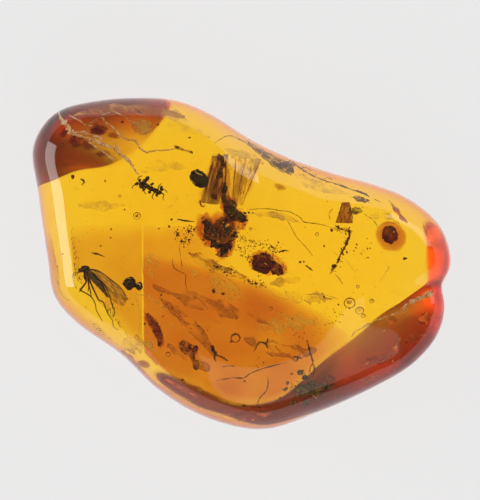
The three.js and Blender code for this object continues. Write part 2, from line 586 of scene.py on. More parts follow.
@dataclass
class Seeing:
    """Finds where a thing lies in the resin from where it is seen from straight above."""

    piece: bpy.types.Object
    blend: float = 0.45
    tree: BVHTree = field(init=False)

    def __post_init__(self) -> None:
        """Reads the finished surface of the nugget."""
        graph = bpy.context.evaluated_depsgraph_get()
        self.tree = BVHTree.FromObject(self.piece, graph)

    def under(self, x: float, y: float, depth: float) -> Vector:
        """Returns the place at a depth under the surface that is seen at x, y from above.

        Args:
            x: Where it is seen along the nugget, in millimetres.
            y: Where it is seen across the nugget, in millimetres.
            depth: How far it lies under the surface, in millimetres.

        Returns:
            The place in metres.
        """
        place, inside = self._enter(x, y)
        return place - inside * (depth * MM / inside.z)

    def at_height(self, x: float, y: float, height: float) -> Vector:
        """Returns the place at a height above the back, in millimetres, that is seen at x, y."""
        place, inside = self._enter(x, y)
        return place + inside * ((height * MM - place.z) / inside.z)

    def room(self, x: float, y: float, height: float) -> float:
        """Returns how far the resin seen at x, y and at a height lies inside the nugget, in millimetres.

        Args:
            x: Where it is seen along the nugget.
            y: Where it is seen across the nugget.
            height: Its height above the back.

        Returns:
            The distance to the nearest surface, or 0 where the view meets a steep wall or misses.
        """
        place, normal, _, _ = self.tree.ray_cast(Vector((x * MM, y * MM, 1.0)), Vector((0, 0, -1)))
        if place is None or normal.z < 0.6:
            return 0.0
        spot = self.at_height(x, y, height)
        below = self.tree.ray_cast(spot, Vector((0, 0, -1)))[0]
        above = self.tree.ray_cast(spot, Vector((0, 0, 1)))[0]
        return self.tree.find_nearest(spot)[3] / MM if below and above else 0.0

    def chain(self, points: Sequence[Seen], depth: float, sink: float = 0.0,
              steps: int = 4) -> list[Vector]:
        """Returns a rounded chain of places at a depth, sinking by a further amount to its end."""
        last = max(1, len(points) - 1)
        places = [self.under(x, y, depth + sink * index / last) for index, (x, y) in enumerate(points)]
        return smooth_path(places, steps)

    def _enter(self, x: float, y: float) -> tuple[Vector, Vector]:
        """Returns where a view from above meets the surface, and its direction inside."""
        down = Vector((0, 0, -1))
        place = self.tree.ray_cast(Vector((x * MM, y * MM, 1.0)), down)[0]
        if place is None:
            raise ValueError(f"nothing of the nugget is seen at {x}, {y}")
        normal = Vector()
        for step in range(7):
            reach = self.blend if step else 0.0
            beside = Vector((x + reach * math.cos(step * math.tau / 6),
                             y + reach * math.sin(step * math.tau / 6)))
            normal += self.tree.ray_cast(Vector((beside.x * MM, beside.y * MM, 1.0)), down)[1] or Vector()
        return place, self._refract(down, normal.normalized())

    @staticmethod
    def _refract(ray: Vector, normal: Vector) -> Vector:
        """Returns the direction of a ray once it is inside the resin."""
        ratio = 1.0 / AMBER_IOR
        facing = -normal.dot(ray)
        through = math.sqrt(max(0.0, 1.0 - ratio * ratio * (1.0 - facing * facing)))
        return ray * ratio + normal * (ratio * facing - through)


@dataclass
class WeatheredSkin:
    """The darker, reddish resin just under the surface, thickest towards the girdle."""

    nugget: bpy.types.Object
    gap: float = 0.08
    thin: float = 0.1
    thick: float = 1.5
    band: float = 3.4
    girdle: float = 5.4
    levels: int = 1

    def build(self) -> None:
        """Builds the skin as a closed hollow shell inside the nugget."""
        subdivision = self.nugget.modifiers[0]
        subdivision.levels = self.levels
        bm = bmesh.new()
        bm.from_object(self.nugget, bpy.context.evaluated_depsgraph_get())
        subdivision.levels = RENDER_LEVELS
        bm.normal_update()
        inner = bmesh.ops.duplicate(bm, geom=bm.faces[:])["geom"]
        inner_verts = {item for item in inner if isinstance(item, bmesh.types.BMVert)}
        bmesh.ops.reverse_faces(bm, faces=[item for item in inner if isinstance(item, bmesh.types.BMFace)])
        moves = []
        for vert in bm.verts:
            outward = -vert.normal if vert in inner_verts else vert.normal
            depth = self.gap
            if vert in inner_verts:
                away = (vert.co.z / MM - self.girdle) / self.band
                depth += self.thin + self.thick * math.exp(-away * away) * (1 - 0.55 * abs(outward.z))
            moves.append((vert, outward * depth * MM))
        for vert, move in moves:
            vert.co -= move
        tint = TintFinish("weathered_skin", (0.93, 0.66, 0.0, 1), 1050)
        skin = finish_piece(bm, "weathered_skin", tint.make(), smooth=False, turn_out=False)
        LOG.info("%s: %d faces", skin.name, len(skin.data.polygons))


@dataclass
class ResinFlows:
    """Later flows of resin: a brown one with a sharp upright boundary on its left, and a deep yellow one."""

    seeing: Seeing
    base: float = 0.6
    least: float = 0.06
    taper: float = 0.5
    boundary: float = -9.85

    def build(self) -> None:
        """Builds the brown flow and the deep yellow one to its left."""
        self._flow("brown_flow", (-9.95, 15.4), (-15.2, 3.7), self._lower, 0.3,
                   TintFinish("brown_flow", (0.74, 0.22, 0.05, 1), 1500))
        self._flow("amber_flow", (-17.2, -9.9), (-9.5, 5.4), self._left, 1.3,
                   TintFinish("amber_flow", (0.77, 0.39, 0.0, 1), 1000))

    def _left(self, x: float, y: float) -> float:
        """Returns the thickness of the left flow at a place, in millimetres."""
        below = 1 / (1 + math.exp((y - 3.0 - 0.06 * (x + 14.0)) * 2.6))
        from_rim = 0.74 * (x + 17.6) + 0.67 * (y + 2.6) - 1.0
        swirl = 1 + 0.3 * noise.noise(Vector((x * 0.3, y * 0.3, 8.0)))
        return 0.7 * below * swirl * min(1.0, max(0.0, from_rim / 1.6))

    def _lower(self, x: float, y: float) -> float:
        """Returns the thickness of the lower flow at a place, in millimetres."""
        arc = 0.9 - 0.16 * (x - self.boundary) - 0.011 * (x - self.boundary) ** 2
        below = 1 / (1 + math.exp((y - arc) * 3.2))
        above = 0.42 / (1 + math.exp((y - 3.2) * 2.2)) / (1 + math.exp((x + 3.0) * 1.1))
        right = 1 / (1 + math.exp((x - 8.5) * 0.8))
        left = min(1.0, (x - self.boundary) / 0.12) if x > self.boundary else 0.0
        swirl = 1 + 0.35 * noise.noise(Vector((x * 0.32, y * 0.32, 3.0)))
        return 0.95 * max(below * right, above) * left * swirl

    def _flow(self, name: str, across: Seen, along: Seen, thickness: Callable[[float, float], float],
              margin: float, tint: TintFinish) -> None:
        """Builds one flow as a closed lens over a rectangle, as it is seen from above.

        Args:
            name: The piece's name.
            across: The first and last place along X, in millimetres.
            along: The first and last place along Y, in millimetres.
            thickness: Gives the flow's thickness at a place.
            margin: How far its edge keeps from the nugget's surface, in millimetres.
            tint: Its finish.
        """
        bm = bmesh.new()
        bmesh.ops.create_grid(bm, x_segments=120, y_segments=84, size=1.0)
        for vert in bm.verts:
            vert.co.x = across[0] + (vert.co.x + 1) / 2 * (across[1] - across[0])
            vert.co.y = along[0] + (vert.co.y + 1) / 2 * (along[1] - along[0])
        drop = []
        for vert in bm.verts:
            x, y = vert.co.xy
            spare = self.seeing.room(x, y, self.base + margin) - margin
            vert.co.z = thickness(x, y) * min(1.0, max(0.0, spare / self.taper))
            if vert.co.z < self.least:
                drop.append(vert)
        bmesh.ops.delete(bm, geom=drop, context="VERTS")
        lower = list(bm.verts)
        bmesh.ops.extrude_face_region(bm, geom=bm.faces[:], use_keep_orig=True)
        for vert in lower:
            vert.co.z = 0.0
        for vert in bm.verts:
            vert.co = self.seeing.at_height(vert.co.x, vert.co.y, self.base + vert.co.z)
        LOG.info("%s: %d faces", name, len(bm.faces))
        finish_piece(bm, name, tint.make(), smooth=False)


# ---------------------------------------------------------------------------------------------
# The gnat
# ---------------------------------------------------------------------------------------------


@dataclass
class Gnat:
    """The trapped gnat: body, antennae, legs and wings, seen from above."""

    seeing: Seeing
    depth: float = 1.6
    leg_depth: float = 1.9

    def build(self) -> None:
        """Builds the gnat's pieces."""
        chitin = MatterFinish("gnat_chitin", srgb(22, 15, 8), srgb(62, 44, 20), grain=0.12, relief=0.02,
                              roughness=0.35, sheen=0.3).make()
        belly = MatterFinish("gnat_belly", srgb(38, 32, 14), srgb(92, 78, 40), grain=0.14,
                             stretch=(1.0, 3.0, 1.0), turn=-50, relief=0.02, roughness=0.4).make()
        leg = MatterFinish("gnat_leg", srgb(34, 14, 6), srgb(84, 38, 14), grain=0.1, relief=0.01,
                           roughness=0.45).make()
        wing = MatterFinish("gnat_wing", srgb(120, 60, 20), srgb(190, 125, 50), grain=0.35,
                            stretch=(1.0, 4.0, 1.0), turn=50, relief=0.01, roughness=0.25,
                            cover=(0.22, 0.45), sheen=0.5).make()
        self._thorax(chitin)
        self._abdomen(belly)
        self._antennae(leg)
        self._legs(leg)
        self._wings(wing, leg)

    def _at(self, x: float, y: float, deeper: float = 0.0) -> Vector:
        """Returns the place of a point of the body."""
        return self.seeing.under(x, y, self.depth + deeper)

    def _thorax(self, finish: bpy.types.Material) -> None:
        """Builds the head with its eyes and the humped thorax."""
        clay = Clay(11)
        clay.blob(self._at(-15.36, -0.52), (0.47, 0.36, 0.38), 20, rough=0.06)
        clay.blob(self._at(-15.08, -0.72), (0.34, 0.28, 0.28), -40, rough=0.08)
        clay.blob(self._at(-15.55, -0.42, -0.12), (0.24, 0.22, 0.2), 0, rough=0.06)
        clay.blob(self._at(-15.86, -0.66), (0.19, 0.21, 0.19), 10, rough=0.04)
        for x, y in ((-15.93, -0.53), (-15.9, -0.8)):
            clay.blob(self._at(x, y, -0.08), (0.11, 0.1, 0.12), 0, rough=0.02, detail=2)
        clay.limb([self._at(-15.98, -0.72), self._at(-16.08, -0.9, 0.1)], (0.05, 0.02), sides=6)
        clay.finish("gnat_thorax", finish, Slot.INSECT)

    def _abdomen(self, finish: bpy.types.Material) -> None:
        """Builds the segmented abdomen and its claspers."""
        clay = Clay(12)
        line = self.seeing.chain(((-15.05, -0.78), (-14.7, -1.12), (-14.28, -1.6), (-13.84, -2.12),
                                  (-13.5, -2.62), (-13.22, -3.1)), self.depth, steps=6)
        girth = (0.22, 0.31, 0.35, 0.34, 0.3, 0.25, 0.17, 0.11)
        clay.limb(line, girth, sides=18, rough=0.015, flat=0.85)
        for index in range(4, len(line) - 2, 4):
            thick = girth[min(7, int(index / len(line) * 7))]
            clay.limb([line[index].lerp(line[index + 1], 0.1), line[index].lerp(line[index + 1], 0.75)],
                      (thick * 1.07, thick * 1.02), sides=18, flat=0.87)
        for x, y in ((-13.06, -3.3), (-13.3, -3.32)):
            clay.limb([line[-1], self._at(x, y)], (0.07, 0.03), sides=6)
        clay.finish("gnat_abdomen", finish, Slot.INSECT)

    def _antennae(self, finish: bpy.types.Material) -> None:
        """Builds the two beaded antennae."""
        clay = Clay(13)
        for points in (
            ((-16.0, -0.8), (-16.41, -0.88), (-16.6, -1.11), (-16.56, -1.53), (-16.41, -2.07),
             (-16.18, -2.45)),
            ((-16.0, -0.84), (-16.28, -1.02), (-16.48, -1.19), (-16.44, -1.5)),
        ):
            line = self.seeing.chain(points, self.depth, steps=4)
            clay.limb(line, (0.035, 0.03, 0.018), sides=6)
            for place in line[3::2]:
                clay.blob(place, (0.045, 0.045, 0.045), rough=0.05, detail=1)
        clay.finish("gnat_antennae", finish, Slot.INSECT)

    def _legs(self, finish: bpy.types.Material) -> None:
        """Builds the legs, each thick at the thigh and fine at the foot."""
        legs = (
            ((-15.3, -0.7), (-15.32, -1.2), (-15.26, -1.76), (-15.64, -2.3), (-15.87, -2.56),
             (-15.49, -2.79),
             (-14.95, -3.1), (-14.57, -3.52), (-14.34, -4.06), (-14.26, -4.59), (-13.88, -5.28),
             (-13.69, -5.65)),
            ((-15.4, -0.7), (-15.45, -1.3), (-15.26, -1.76), (-15.5, -2.2), (-15.8, -2.6), (-15.95, -2.75)),
            ((-15.2, -0.8), (-15.1, -1.4), (-15.03, -1.91), (-15.03, -2.45), (-15.11, -2.75)),
            ((-15.1, -1.0), (-15.03, -1.91), (-14.88, -2.53), (-14.76, -3.18), (-14.66, -3.4)),
            ((-15.08, -0.9), (-15.03, -1.3), (-14.8, -1.91), (-14.42, -2.75), (-14.03, -3.52),
             (-13.61, -3.75),
             (-13.35, -4.36), (-13.12, -4.9), (-12.81, -5.36), (-12.66, -5.65), (-12.6, -6.2),
             (-12.1, -6.5)),
            ((-14.9, -1.0), (-14.1, -1.5), (-13.61, -1.84), (-13.27, -2.3), (-13.08, -2.83),
             (-12.89, -3.44),
             (-12.66, -4.13), (-12.5, -4.59), (-12.54, -5.05), (-12.69, -5.05)),
        )
        clay = Clay(14)
        for order, points in enumerate(legs):
            line = self.seeing.chain(points, self.leg_depth + 0.1 * (order % 3), steps=5)
            clay.limb(line, (0.07, 0.09, 0.065, 0.06, 0.05, 0.04, 0.03), sides=8, rough=0.06)
            for place in line[len(line) // 2::3]:
                tip = place + Vector((clay.dice.uniform(-1, 1), clay.dice.uniform(-1, 1), 0.2)) * 0.12 * MM
                clay.limb([place, tip], (0.012, 0.004), sides=3)
        clay.finish("gnat_legs", finish, Slot.INSECT)

    def _wings(self, membrane: bpy.types.Material, vein: bpy.types.Material) -> None:
        """Builds the folded wings: clear membranes on a firm leading edge with a few veins."""
        front = ((-14.9, -0.55), (-14.26, -0.61), (-13.58, -0.96), (-12.73, -1.61), (-12.05, -2.14),
                 (-11.59, -2.68), (-11.28, -3.21), (-11.13, -3.5))
        back = ((-15.0, -0.75), (-14.5, -1.0), (-14.0, -1.45), (-13.3, -2.1), (-12.75, -2.6),
                (-12.25, -3.05), (-11.7, -3.4), (-11.2, -3.56))
        depth = self.depth - 0.35
        clay = Clay(15)
        clay.ribbon(self.seeing.chain(front, depth, steps=3), self.seeing.chain(back, depth, 0.2, steps=3),
                    rows=6, thick=0.02, rough=0.03)
        second = tuple((x - 0.35, y - 0.62) for x, y in back)
        clay.ribbon(self.seeing.chain(back, depth + 0.7, steps=3),
                    self.seeing.chain(second, depth + 0.8, steps=3),
                    rows=4, thick=0.02, rough=0.03)
        clay.finish("gnat_wings", membrane, Slot.INSECT)
        veins = Clay(16)
        veins.limb(self.seeing.chain(front, depth, steps=4), (0.06, 0.05, 0.04, 0.025), sides=6)
        for share in (0.35, 0.7):
            middle = tuple((ax + (bx - ax) * share * min(1.0, i / 2),
                            ay + (by - ay) * share * min(1.0, i / 2))
                           for i, ((ax, ay), (bx, by)) in enumerate(zip(front, back)))
            veins.limb(self.seeing.chain(middle, depth, 0.15, steps=3), (0.03, 0.022, 0.015), sides=5)
        veins.finish("gnat_wing_veins", vein, Slot.INSECT)


@dataclass
class InsectRemains:
    """A broken chain of dark body parts with a few legs."""

    seeing: Seeing
    depth: float = 2.2

    def build(self) -> None:
        """Builds the remains."""
        clay = Clay(21)
        parts = (
            (-10.25, 7.86, 0.2, 0.15, 20), (-9.81, 7.68, 0.24, 0.36, 15), (-9.54, 8.05, 0.26, 0.2, 50),
            (-9.24, 8.36, 0.26, 0.17, 40), (-9.31, 7.63, 0.34, 0.24, -30), (-8.93, 7.38, 0.34, 0.25, -25),
            (-8.47, 7.17, 0.33, 0.23, -20), (-8.08, 7.0, 0.27, 0.2, -10), (-7.84, 7.38, 0.17, 0.26, 10),
            (-8.75, 7.8, 0.2, 0.12, 30), (-9.0, 7.0, 0.16, 0.12, 0), (-9.95, 8.2, 0.12, 0.16, 0),
            (-8.3, 6.75, 0.13, 0.18, 20), (-9.6, 7.25, 0.12, 0.17, -20),
        )
        for x, y, long, wide, turn in parts:
            clay.blob(self.seeing.under(x, y, self.depth), (long, wide, wide), turn, rough=0.14, detail=3)
        for points in (
            ((-7.95, 7.0), (-7.6, 6.75), (-7.7, 6.45), (-7.63, 6.2)),
            ((-9.9, 7.9), (-10.15, 8.3), (-9.95, 8.55), (-9.7, 8.6)),
            ((-9.3, 7.5), (-9.55, 7.1), (-9.35, 6.8)),
            ((-8.5, 7.0), (-8.75, 6.6), (-8.6, 6.3)),
            ((-8.2, 7.2), (-8.05, 7.65), (-7.8, 7.85)),
            ((-10.3, 7.8), (-10.6, 7.65), (-10.75, 7.35)),
            ((-7.8, 7.3), (-7.45, 7.2), (-7.25, 6.95)),
        ):
            clay.limb(self.seeing.chain(points, self.depth, 0.2), (0.06, 0.045, 0.025), sides=6, rough=0.1)
        finish = MatterFinish("dry_chitin", srgb(12, 9, 5), srgb(58, 42, 16), grain=0.12, relief=0.03,
                              roughness=0.4, sheen=0.2)
        clay.finish("insect_remains", finish.make(), Slot.INSECT)


@dataclass
class Droppings:
    """Two scalloped black pellets, each with a painted highlight: a pale crescent beside it where a tiny gap
    catches the light.
    """

    seeing: Seeing

    def build(self) -> None:
        """Builds the pellets and their painted highlights."""
        clay = Clay(31)
        see = self.seeing
        clay.blob(see.under(-4.15, 8.32, 2.4), (0.95, 0.68, 0.6), -38, rough=0.1, lumps=2.2, detail=4)
        for step in range(14):
            angle = math.tau * step / 14
            along, across = 0.84 * math.cos(angle), 0.58 * math.sin(angle)
            turn = math.radians(-38)
            x = -4.15 + along * math.cos(turn) - across * math.sin(turn)
            y = 8.32 + along * math.sin(turn) + across * math.cos(turn)
            clay.blob(see.under(x, y, 2.4), (0.2, 0.17, 0.24), math.degrees(angle) - 38, rough=0.16,
                      detail=2)
        clay.blob(see.under(-4.33, 9.12, 2.3), (0.2, 0.16, 0.18), 20, rough=0.2, detail=2)
        clay.blob(see.under(-10.97, -1.91, 2.0), (0.6, 0.56, 0.5), 10, rough=0.13, lumps=2.4, detail=4)
        clay.blob(see.under(-10.03, -2.18, 2.1), (0.38, 0.35, 0.34), 30, rough=0.16, lumps=2.2, detail=3)
        clay.blob(see.under(-10.5, -2.02, 2.1), (0.3, 0.2, 0.24), -15, rough=0.2, detail=2)
        finish = MatterFinish("dropping", srgb(8, 6, 3), srgb(48, 34, 14), grain=0.16, relief=0.05,
                              roughness=0.6)
        clay.finish("droppings", finish.make(), Slot.DEBRIS)
        # Painted highlights: pale opaque crescents beside the pellets stand in for light caught in tiny
        # gaps.
        painted_highlights = Clay(32)
        painted_highlights.limb(see.chain(((-4.6, 9.1), (-4.3, 8.86), (-3.8, 8.66)), 1.7), (0.02, 0.055, 0.02), sides=6)
        painted_highlights.limb(see.chain(((-4.95, 8.3), (-4.8, 8.05), (-4.5, 7.8)), 1.8), (0.015, 0.035, 0.015), sides=6)
        painted_highlights.limb(see.chain(((-10.28, -2.02), (-10.12, -1.94), (-9.92, -2.05), (-9.86, -2.2)), 1.6),
                  (0.02, 0.06, 0.02), sides=6)
        painted_highlights.limb(see.chain(((-11.2, -1.5), (-11.0, -1.42), (-10.8, -1.47)), 1.5), (0.015, 0.03, 0.015),
                  sides=6)
        pale = MatterFinish("pellet_highlight", srgb(225, 205, 160), srgb(255, 246, 220), grain=0.1, relief=0.01)
        painted_highlights.finish("dropping_highlights", pale.make(), Slot.FLAW)


# ---------------------------------------------------------------------------------------------
# Wood, bark and resin lumps
# ---------------------------------------------------------------------------------------------


@dataclass
class BarkColumn:
    """A splinter of bark with dark grain, clear resin-soaked wood beside it, and a dark lump below."""

    seeing: Seeing
    depth: float = 3.4

    def build(self) -> None:
        """Builds the splinter, its soaked side, the grain lines and the lump."""
        self._splinter()
        self._soaked()
        self._grain()
        self._lump()

    def _slats(self, clay: Clay, left: Sequence[Seen], right: Sequence[Seen], count: int,
               thick: tuple[float, float], depth: tuple[float, float]) -> None:
        """Adds uneven upright slats side by side between two edges.

        Args:
            clay: The piece they belong to.
            left: The left edge from top to bottom, as seen from above.
            right: The right edge, of as many points.
            count: How many slats there are.
            thick: Their least and greatest half thickness in millimetres.
            depth: Their least and greatest depth in millimetres.
        """
        for index in range(count):
            share = (index + clay.dice.uniform(0.2, 0.8)) / count
            lean = clay.dice.uniform(-0.06, 0.06)
            middle = [(ax + (bx - ax) * (share + lean * order / 3), ay + (by - ay) * share)
                      for order, ((ax, ay), (bx, by)) in enumerate(zip(left, right))]
            first = clay.dice.choice((0, 0, 0, 1))
            last = len(middle) - clay.dice.choice((0, 0, 0, 1))
            line = self.seeing.chain(middle[first:last], clay.dice.uniform(*depth), 0.3, steps=5)
            radius = clay.dice.uniform(*thick)
            clay.limb(line, (radius * 0.15, radius * 0.9, radius * 0.8, radius * 1.1, radius, radius * 0.2),
                      sides=10,
                      rough=0.14, flat=0.55)

    def _sheet(self, seed: int, left: Sequence[Seen], right: Sequence[Seen], depth: float,
               finish: MatterFinish) -> None:
        """Builds a thin sheet of softened wood between two upright edges.

        Args:
            seed: Seed of its crumpling.
            left: The left edge from top to bottom, as seen from above.
            right: The right edge, of as many points.
            depth: Its depth in millimetres.
            finish: Its finish, which also names it.
        """
        clay = Clay(seed)
        clay.ribbon(self.seeing.chain(left, depth, 0.3, steps=6),
                    self.seeing.chain(right, depth, 0.3, steps=6),
                    rows=14, thick=0.03, rough=0.1)
        clay.finish(finish.name, finish.make(), Slot.DEBRIS)

    def _splinter(self) -> None:
        """Builds the brown splinter: clear slats, opaque ones among them, and a thin sheet over both."""
        left = ((-2.89, 10.6), (-3.1, 9.6), (-3.27, 8.93), (-3.5, 8.1), (-3.65, 7.4), (-3.9, 6.7),
                (-4.05, 6.0))
        right = ((-1.3, 10.8), (-1.25, 9.7), (-1.2, 8.9), (-1.15, 8.0), (-1.2, 7.2), (-1.1, 6.4),
                 (-0.7, 5.6))
        body = Clay(48)
        self._slats(body, left, right, 15, (0.16, 0.34), (self.depth, self.depth + 1.2))
        body.finish("bark_body", TintFinish("bark_body", (0.72, 0.42, 0.22, 1), 2300).make(), Slot.DEBRIS,
                    smooth=False)
        self._sheet(40, left, right, self.depth - 0.5, MatterFinish(
            "bark_sheet", srgb(120, 48, 14), srgb(224, 160, 88), grain=0.5, stretch=(1.6, 0.14, 1.0),
            turn=14,
            relief=0.02, roughness=0.6, cover=(0.18, 0.6), cover_range=(0.0, 1.0)))
        clay = Clay(41)
        self._slats(clay, left, right, 4, (0.05, 0.1), (self.depth - 0.3, self.depth + 0.6))
        clay.limb(self.seeing.chain(((-4.05, 6.2), (-4.0, 5.8), (-3.75, 5.6), (-3.6, 5.8)), self.depth),
                  (0.1, 0.07, 0.04), sides=7, rough=0.1)
        finish = MatterFinish("bark", srgb(96, 30, 8), srgb(206, 118, 52), grain=0.3,
                              stretch=(2.0, 0.4, 1.0),
                              turn=14, relief=0.05, roughness=0.6)
        clay.finish("bark_splinter", finish.make(), Slot.DEBRIS)

    def _soaked(self) -> None:
        """Builds the resin-soaked wood to the right of the splinter."""
        left = ((-1.2, 10.6), (-1.15, 9.4), (-1.1, 8.4), (-1.05, 7.4), (-0.9, 6.4), (-0.6, 5.6))
        right = ((1.95, 10.3), (1.5, 9.2), (1.05, 8.2), (0.8, 7.5), (0.45, 6.6), (0.2, 5.8))
        body = Clay(49)
        self._slats(body, left, right, 9, (0.16, 0.32), (self.depth, self.depth + 1.0))
        body.finish("soaked_body", TintFinish("soaked_body", (0.8, 0.5, 0.3, 1), 1500).make(), Slot.DEBRIS,
                    smooth=False)
        self._sheet(50, left, right, self.depth - 0.5, MatterFinish(
            "soaked_sheet", srgb(160, 84, 30), srgb(240, 190, 112), grain=0.6, stretch=(1.4, 0.12, 1.0),
            turn=20,
            relief=0.02, roughness=0.5, cover=(0.03, 0.34), cover_range=(0.0, 1.0)))
        clay = Clay(42)
        self._slats(clay, left, right, 3, (0.02, 0.045), (self.depth - 0.3, self.depth + 0.5))
        finish = MatterFinish("soaked_wood", srgb(150, 66, 20), srgb(226, 150, 70), grain=0.3,
                              stretch=(2.0, 0.4, 1.0), turn=20, relief=0.03, roughness=0.5,
                              cover=(0.3, 0.75))
        clay.finish("soaked_wood", finish.make(), Slot.DEBRIS)

    def _grain(self) -> None:
        """Builds the dark lines of grain and the pale gaps between them."""
        see = self.seeing
        dark = Clay(43)
        for points, thick, depth in (
            (((-1.8, 10.35), (-1.95, 9.7), (-2.1, 9.1), (-2.35, 8.3), (-2.6, 7.6), (-2.9, 6.4)), 0.17, 3.0),
            (((-1.62, 8.0), (-1.72, 7.1), (-1.7, 6.3), (-1.45, 5.8), (-1.2, 5.4)), 0.2, 3.1),
            (((-2.75, 10.2), (-3.05, 9.1), (-3.3, 8.2), (-3.6, 7.0)), 0.07, 3.0),
            (((-2.3, 10.5), (-2.55, 9.3), (-2.95, 8.1), (-3.3, 6.6)), 0.06, 3.2),
            (((1.75, 10.1), (1.25, 8.8), (0.76, 7.55), (0.4, 6.7), (0.2, 6.0)), 0.055, 3.4),
            (((-0.6, 10.3), (-0.6, 9.3), (-0.75, 8.2), (-0.8, 7.0)), 0.05, 3.6),
            (((0.4, 10.3), (0.15, 9.2), (-0.1, 8.1), (-0.3, 6.9), (-0.4, 6.1)), 0.05, 3.6),
        ):
            line = see.chain(points, depth, 0.3, steps=6)
            dark.limb(line, (thick * 0.5, thick, thick * 1.1, thick, thick * 0.5), sides=7, rough=0.3,
                      flat=0.8)
        for x, y, long, wide, turn in ((-2.05, 10.35, 0.4, 0.24, -60), (-1.75, 9.75, 0.36, 0.2, -80),
                                       (-2.0, 8.7, 0.3, 0.17, -75), (-1.62, 7.35, 0.32, 0.22, -85),
                                       (-2.75, 6.6, 0.3, 0.2, -60)):
            dark.blob(see.under(x, y, 3.0), (long, wide, wide), turn, rough=0.25, detail=3)
        finish = MatterFinish("dark_grain", srgb(16, 6, 2), srgb(96, 30, 8), grain=0.2, relief=0.04,
                              roughness=0.5, cover=(0.45, 0.97))
        dark.finish("bark_grain", finish.make(), Slot.DEBRIS)
        pale = Clay(44)
        for points, thick in (
            (((0.9, 9.15), (0.84, 8.7), (0.88, 8.2)), 0.035),
            (((0.27, 7.75), (0.3, 7.3), (0.24, 6.9)), 0.045),
            (((-0.35, 9.4), (-0.42, 8.8)), 0.03), (((-3.0, 8.4), (-3.1, 7.9)), 0.03),
            (((-0.9, 7.9), (-0.95, 7.3), (-0.9, 6.8)), 0.03),
        ):
            pale.limb(see.chain(points, 3.0), (thick * 0.4, thick, thick * 0.4), sides=6, rough=0.15)
        gap = MatterFinish("grain_gap", srgb(232, 190, 120), srgb(255, 240, 200), grain=0.1, relief=0.01)
        pale.finish("bark_gaps", gap.make(), Slot.FLAW)

    def _lump(self) -> None:
        """Builds the dark lump of resin-soaked matter under the splinter, with painted highlights on it."""
        see = self.seeing
        clay = Clay(45)
        for x, y, long, wide, turn, depth in (
            (-1.6, 6.5, 0.34, 0.9, 8, 3.5), (-1.15, 5.7, 0.6, 0.5, 20, 3.6), (-1.1, 4.9, 0.62, 0.7, 0, 3.8),
            (-0.35, 4.6, 0.85, 0.42, -18, 3.8), (-1.75, 3.6, 1.0, 0.85, 20, 4.0),
            (-1.35, 2.9, 0.78, 0.9, 70, 4.0),
            (-1.55, 1.9, 0.55, 0.85, -8, 4.1), (-1.75, 1.15, 0.36, 0.5, 0, 4.2),
            (-2.75, 3.0, 0.85, 0.85, 60, 4.1),
            (-2.4, 2.1, 0.6, 0.6, 50, 4.1), (-3.35, 4.1, 0.42, 0.36, 40, 4.0),
            (-3.2, 3.4, 0.5, 0.5, 0, 4.0),
        ):
            clay.blob(see.under(x, y, depth), (long, wide, min(long, wide) * 0.8), turn, rough=0.15,
                      lumps=1.7, detail=4)
        rim = [see.under(x, y, 3.8) for x,
               y in ((0.4, 4.5), (0.0, 3.6), (-0.5, 2.7), (-1.0, 1.6), (-1.4, 0.9),
                                                 (-2.2, 1.0), (-2.8, 1.8), (-3.6, 2.3), (-3.9, 4.3),
                     (0.5, 5.0))]
        clay.scatter(rim, 10, 0.16, (0.03, 0.11))
        finish = MatterFinish("dark_lump", srgb(18, 3, 2), srgb(84, 12, 4), grain=0.8, relief=0.06,
                              roughness=0.35, cover=(0.3, 0.97), sheen=0.1)
        clay.finish("dark_lump", finish.make(), Slot.DEBRIS)
        flange = Clay(46)
        for x, y, long, wide, turn in ((-3.5, 3.5, 0.95, 1.4, 10), (-1.6, 1.9, 0.95, 1.35, -12),
                                       (-0.5, 4.3, 1.15, 0.9, -30), (-2.0, 3.6, 1.7, 1.3, 20),
                                       (-1.2, 5.8, 0.8, 0.75, 0), (-3.1, 2.4, 0.8, 0.75, 30)):
            flange.blob(see.under(x, y, 4.6), (long, wide, 0.6), turn, rough=0.14, lumps=2.2, detail=4)
        tint = TintFinish("red_flange", (0.66, 0.1, 0.01, 1), 1900)
        flange.finish("lump_flange", tint.make(), Slot.FLAW, smooth=False)
        # Painted highlights: small pale blobs on the dark lump stand in for the light it catches.
        lump_glints = Clay(47)
        for x, y, size in ((-1.36, 3.79, 0.17), (-1.5, 3.66, 0.09), (-1.8, 4.05, 0.07), (-0.71, 5.7, 0.07),
                           (-4.0, 3.3, 0.06), (-2.6, 4.35, 0.05), (-0.95, 4.75, 0.06), (-2.3, 2.9, 0.05)):
            lump_glints.blob(see.under(x, y, 2.7), (size, size * 0.7, size * 0.6), clay.dice.uniform(0, 90),
                       detail=2)
        glint = MatterFinish("lump_highlight", srgb(230, 200, 120), srgb(255, 245, 200), grain=0.1, relief=0.01)
        lump_glints.finish("lump_highlights", glint.make(), Slot.FLAW)


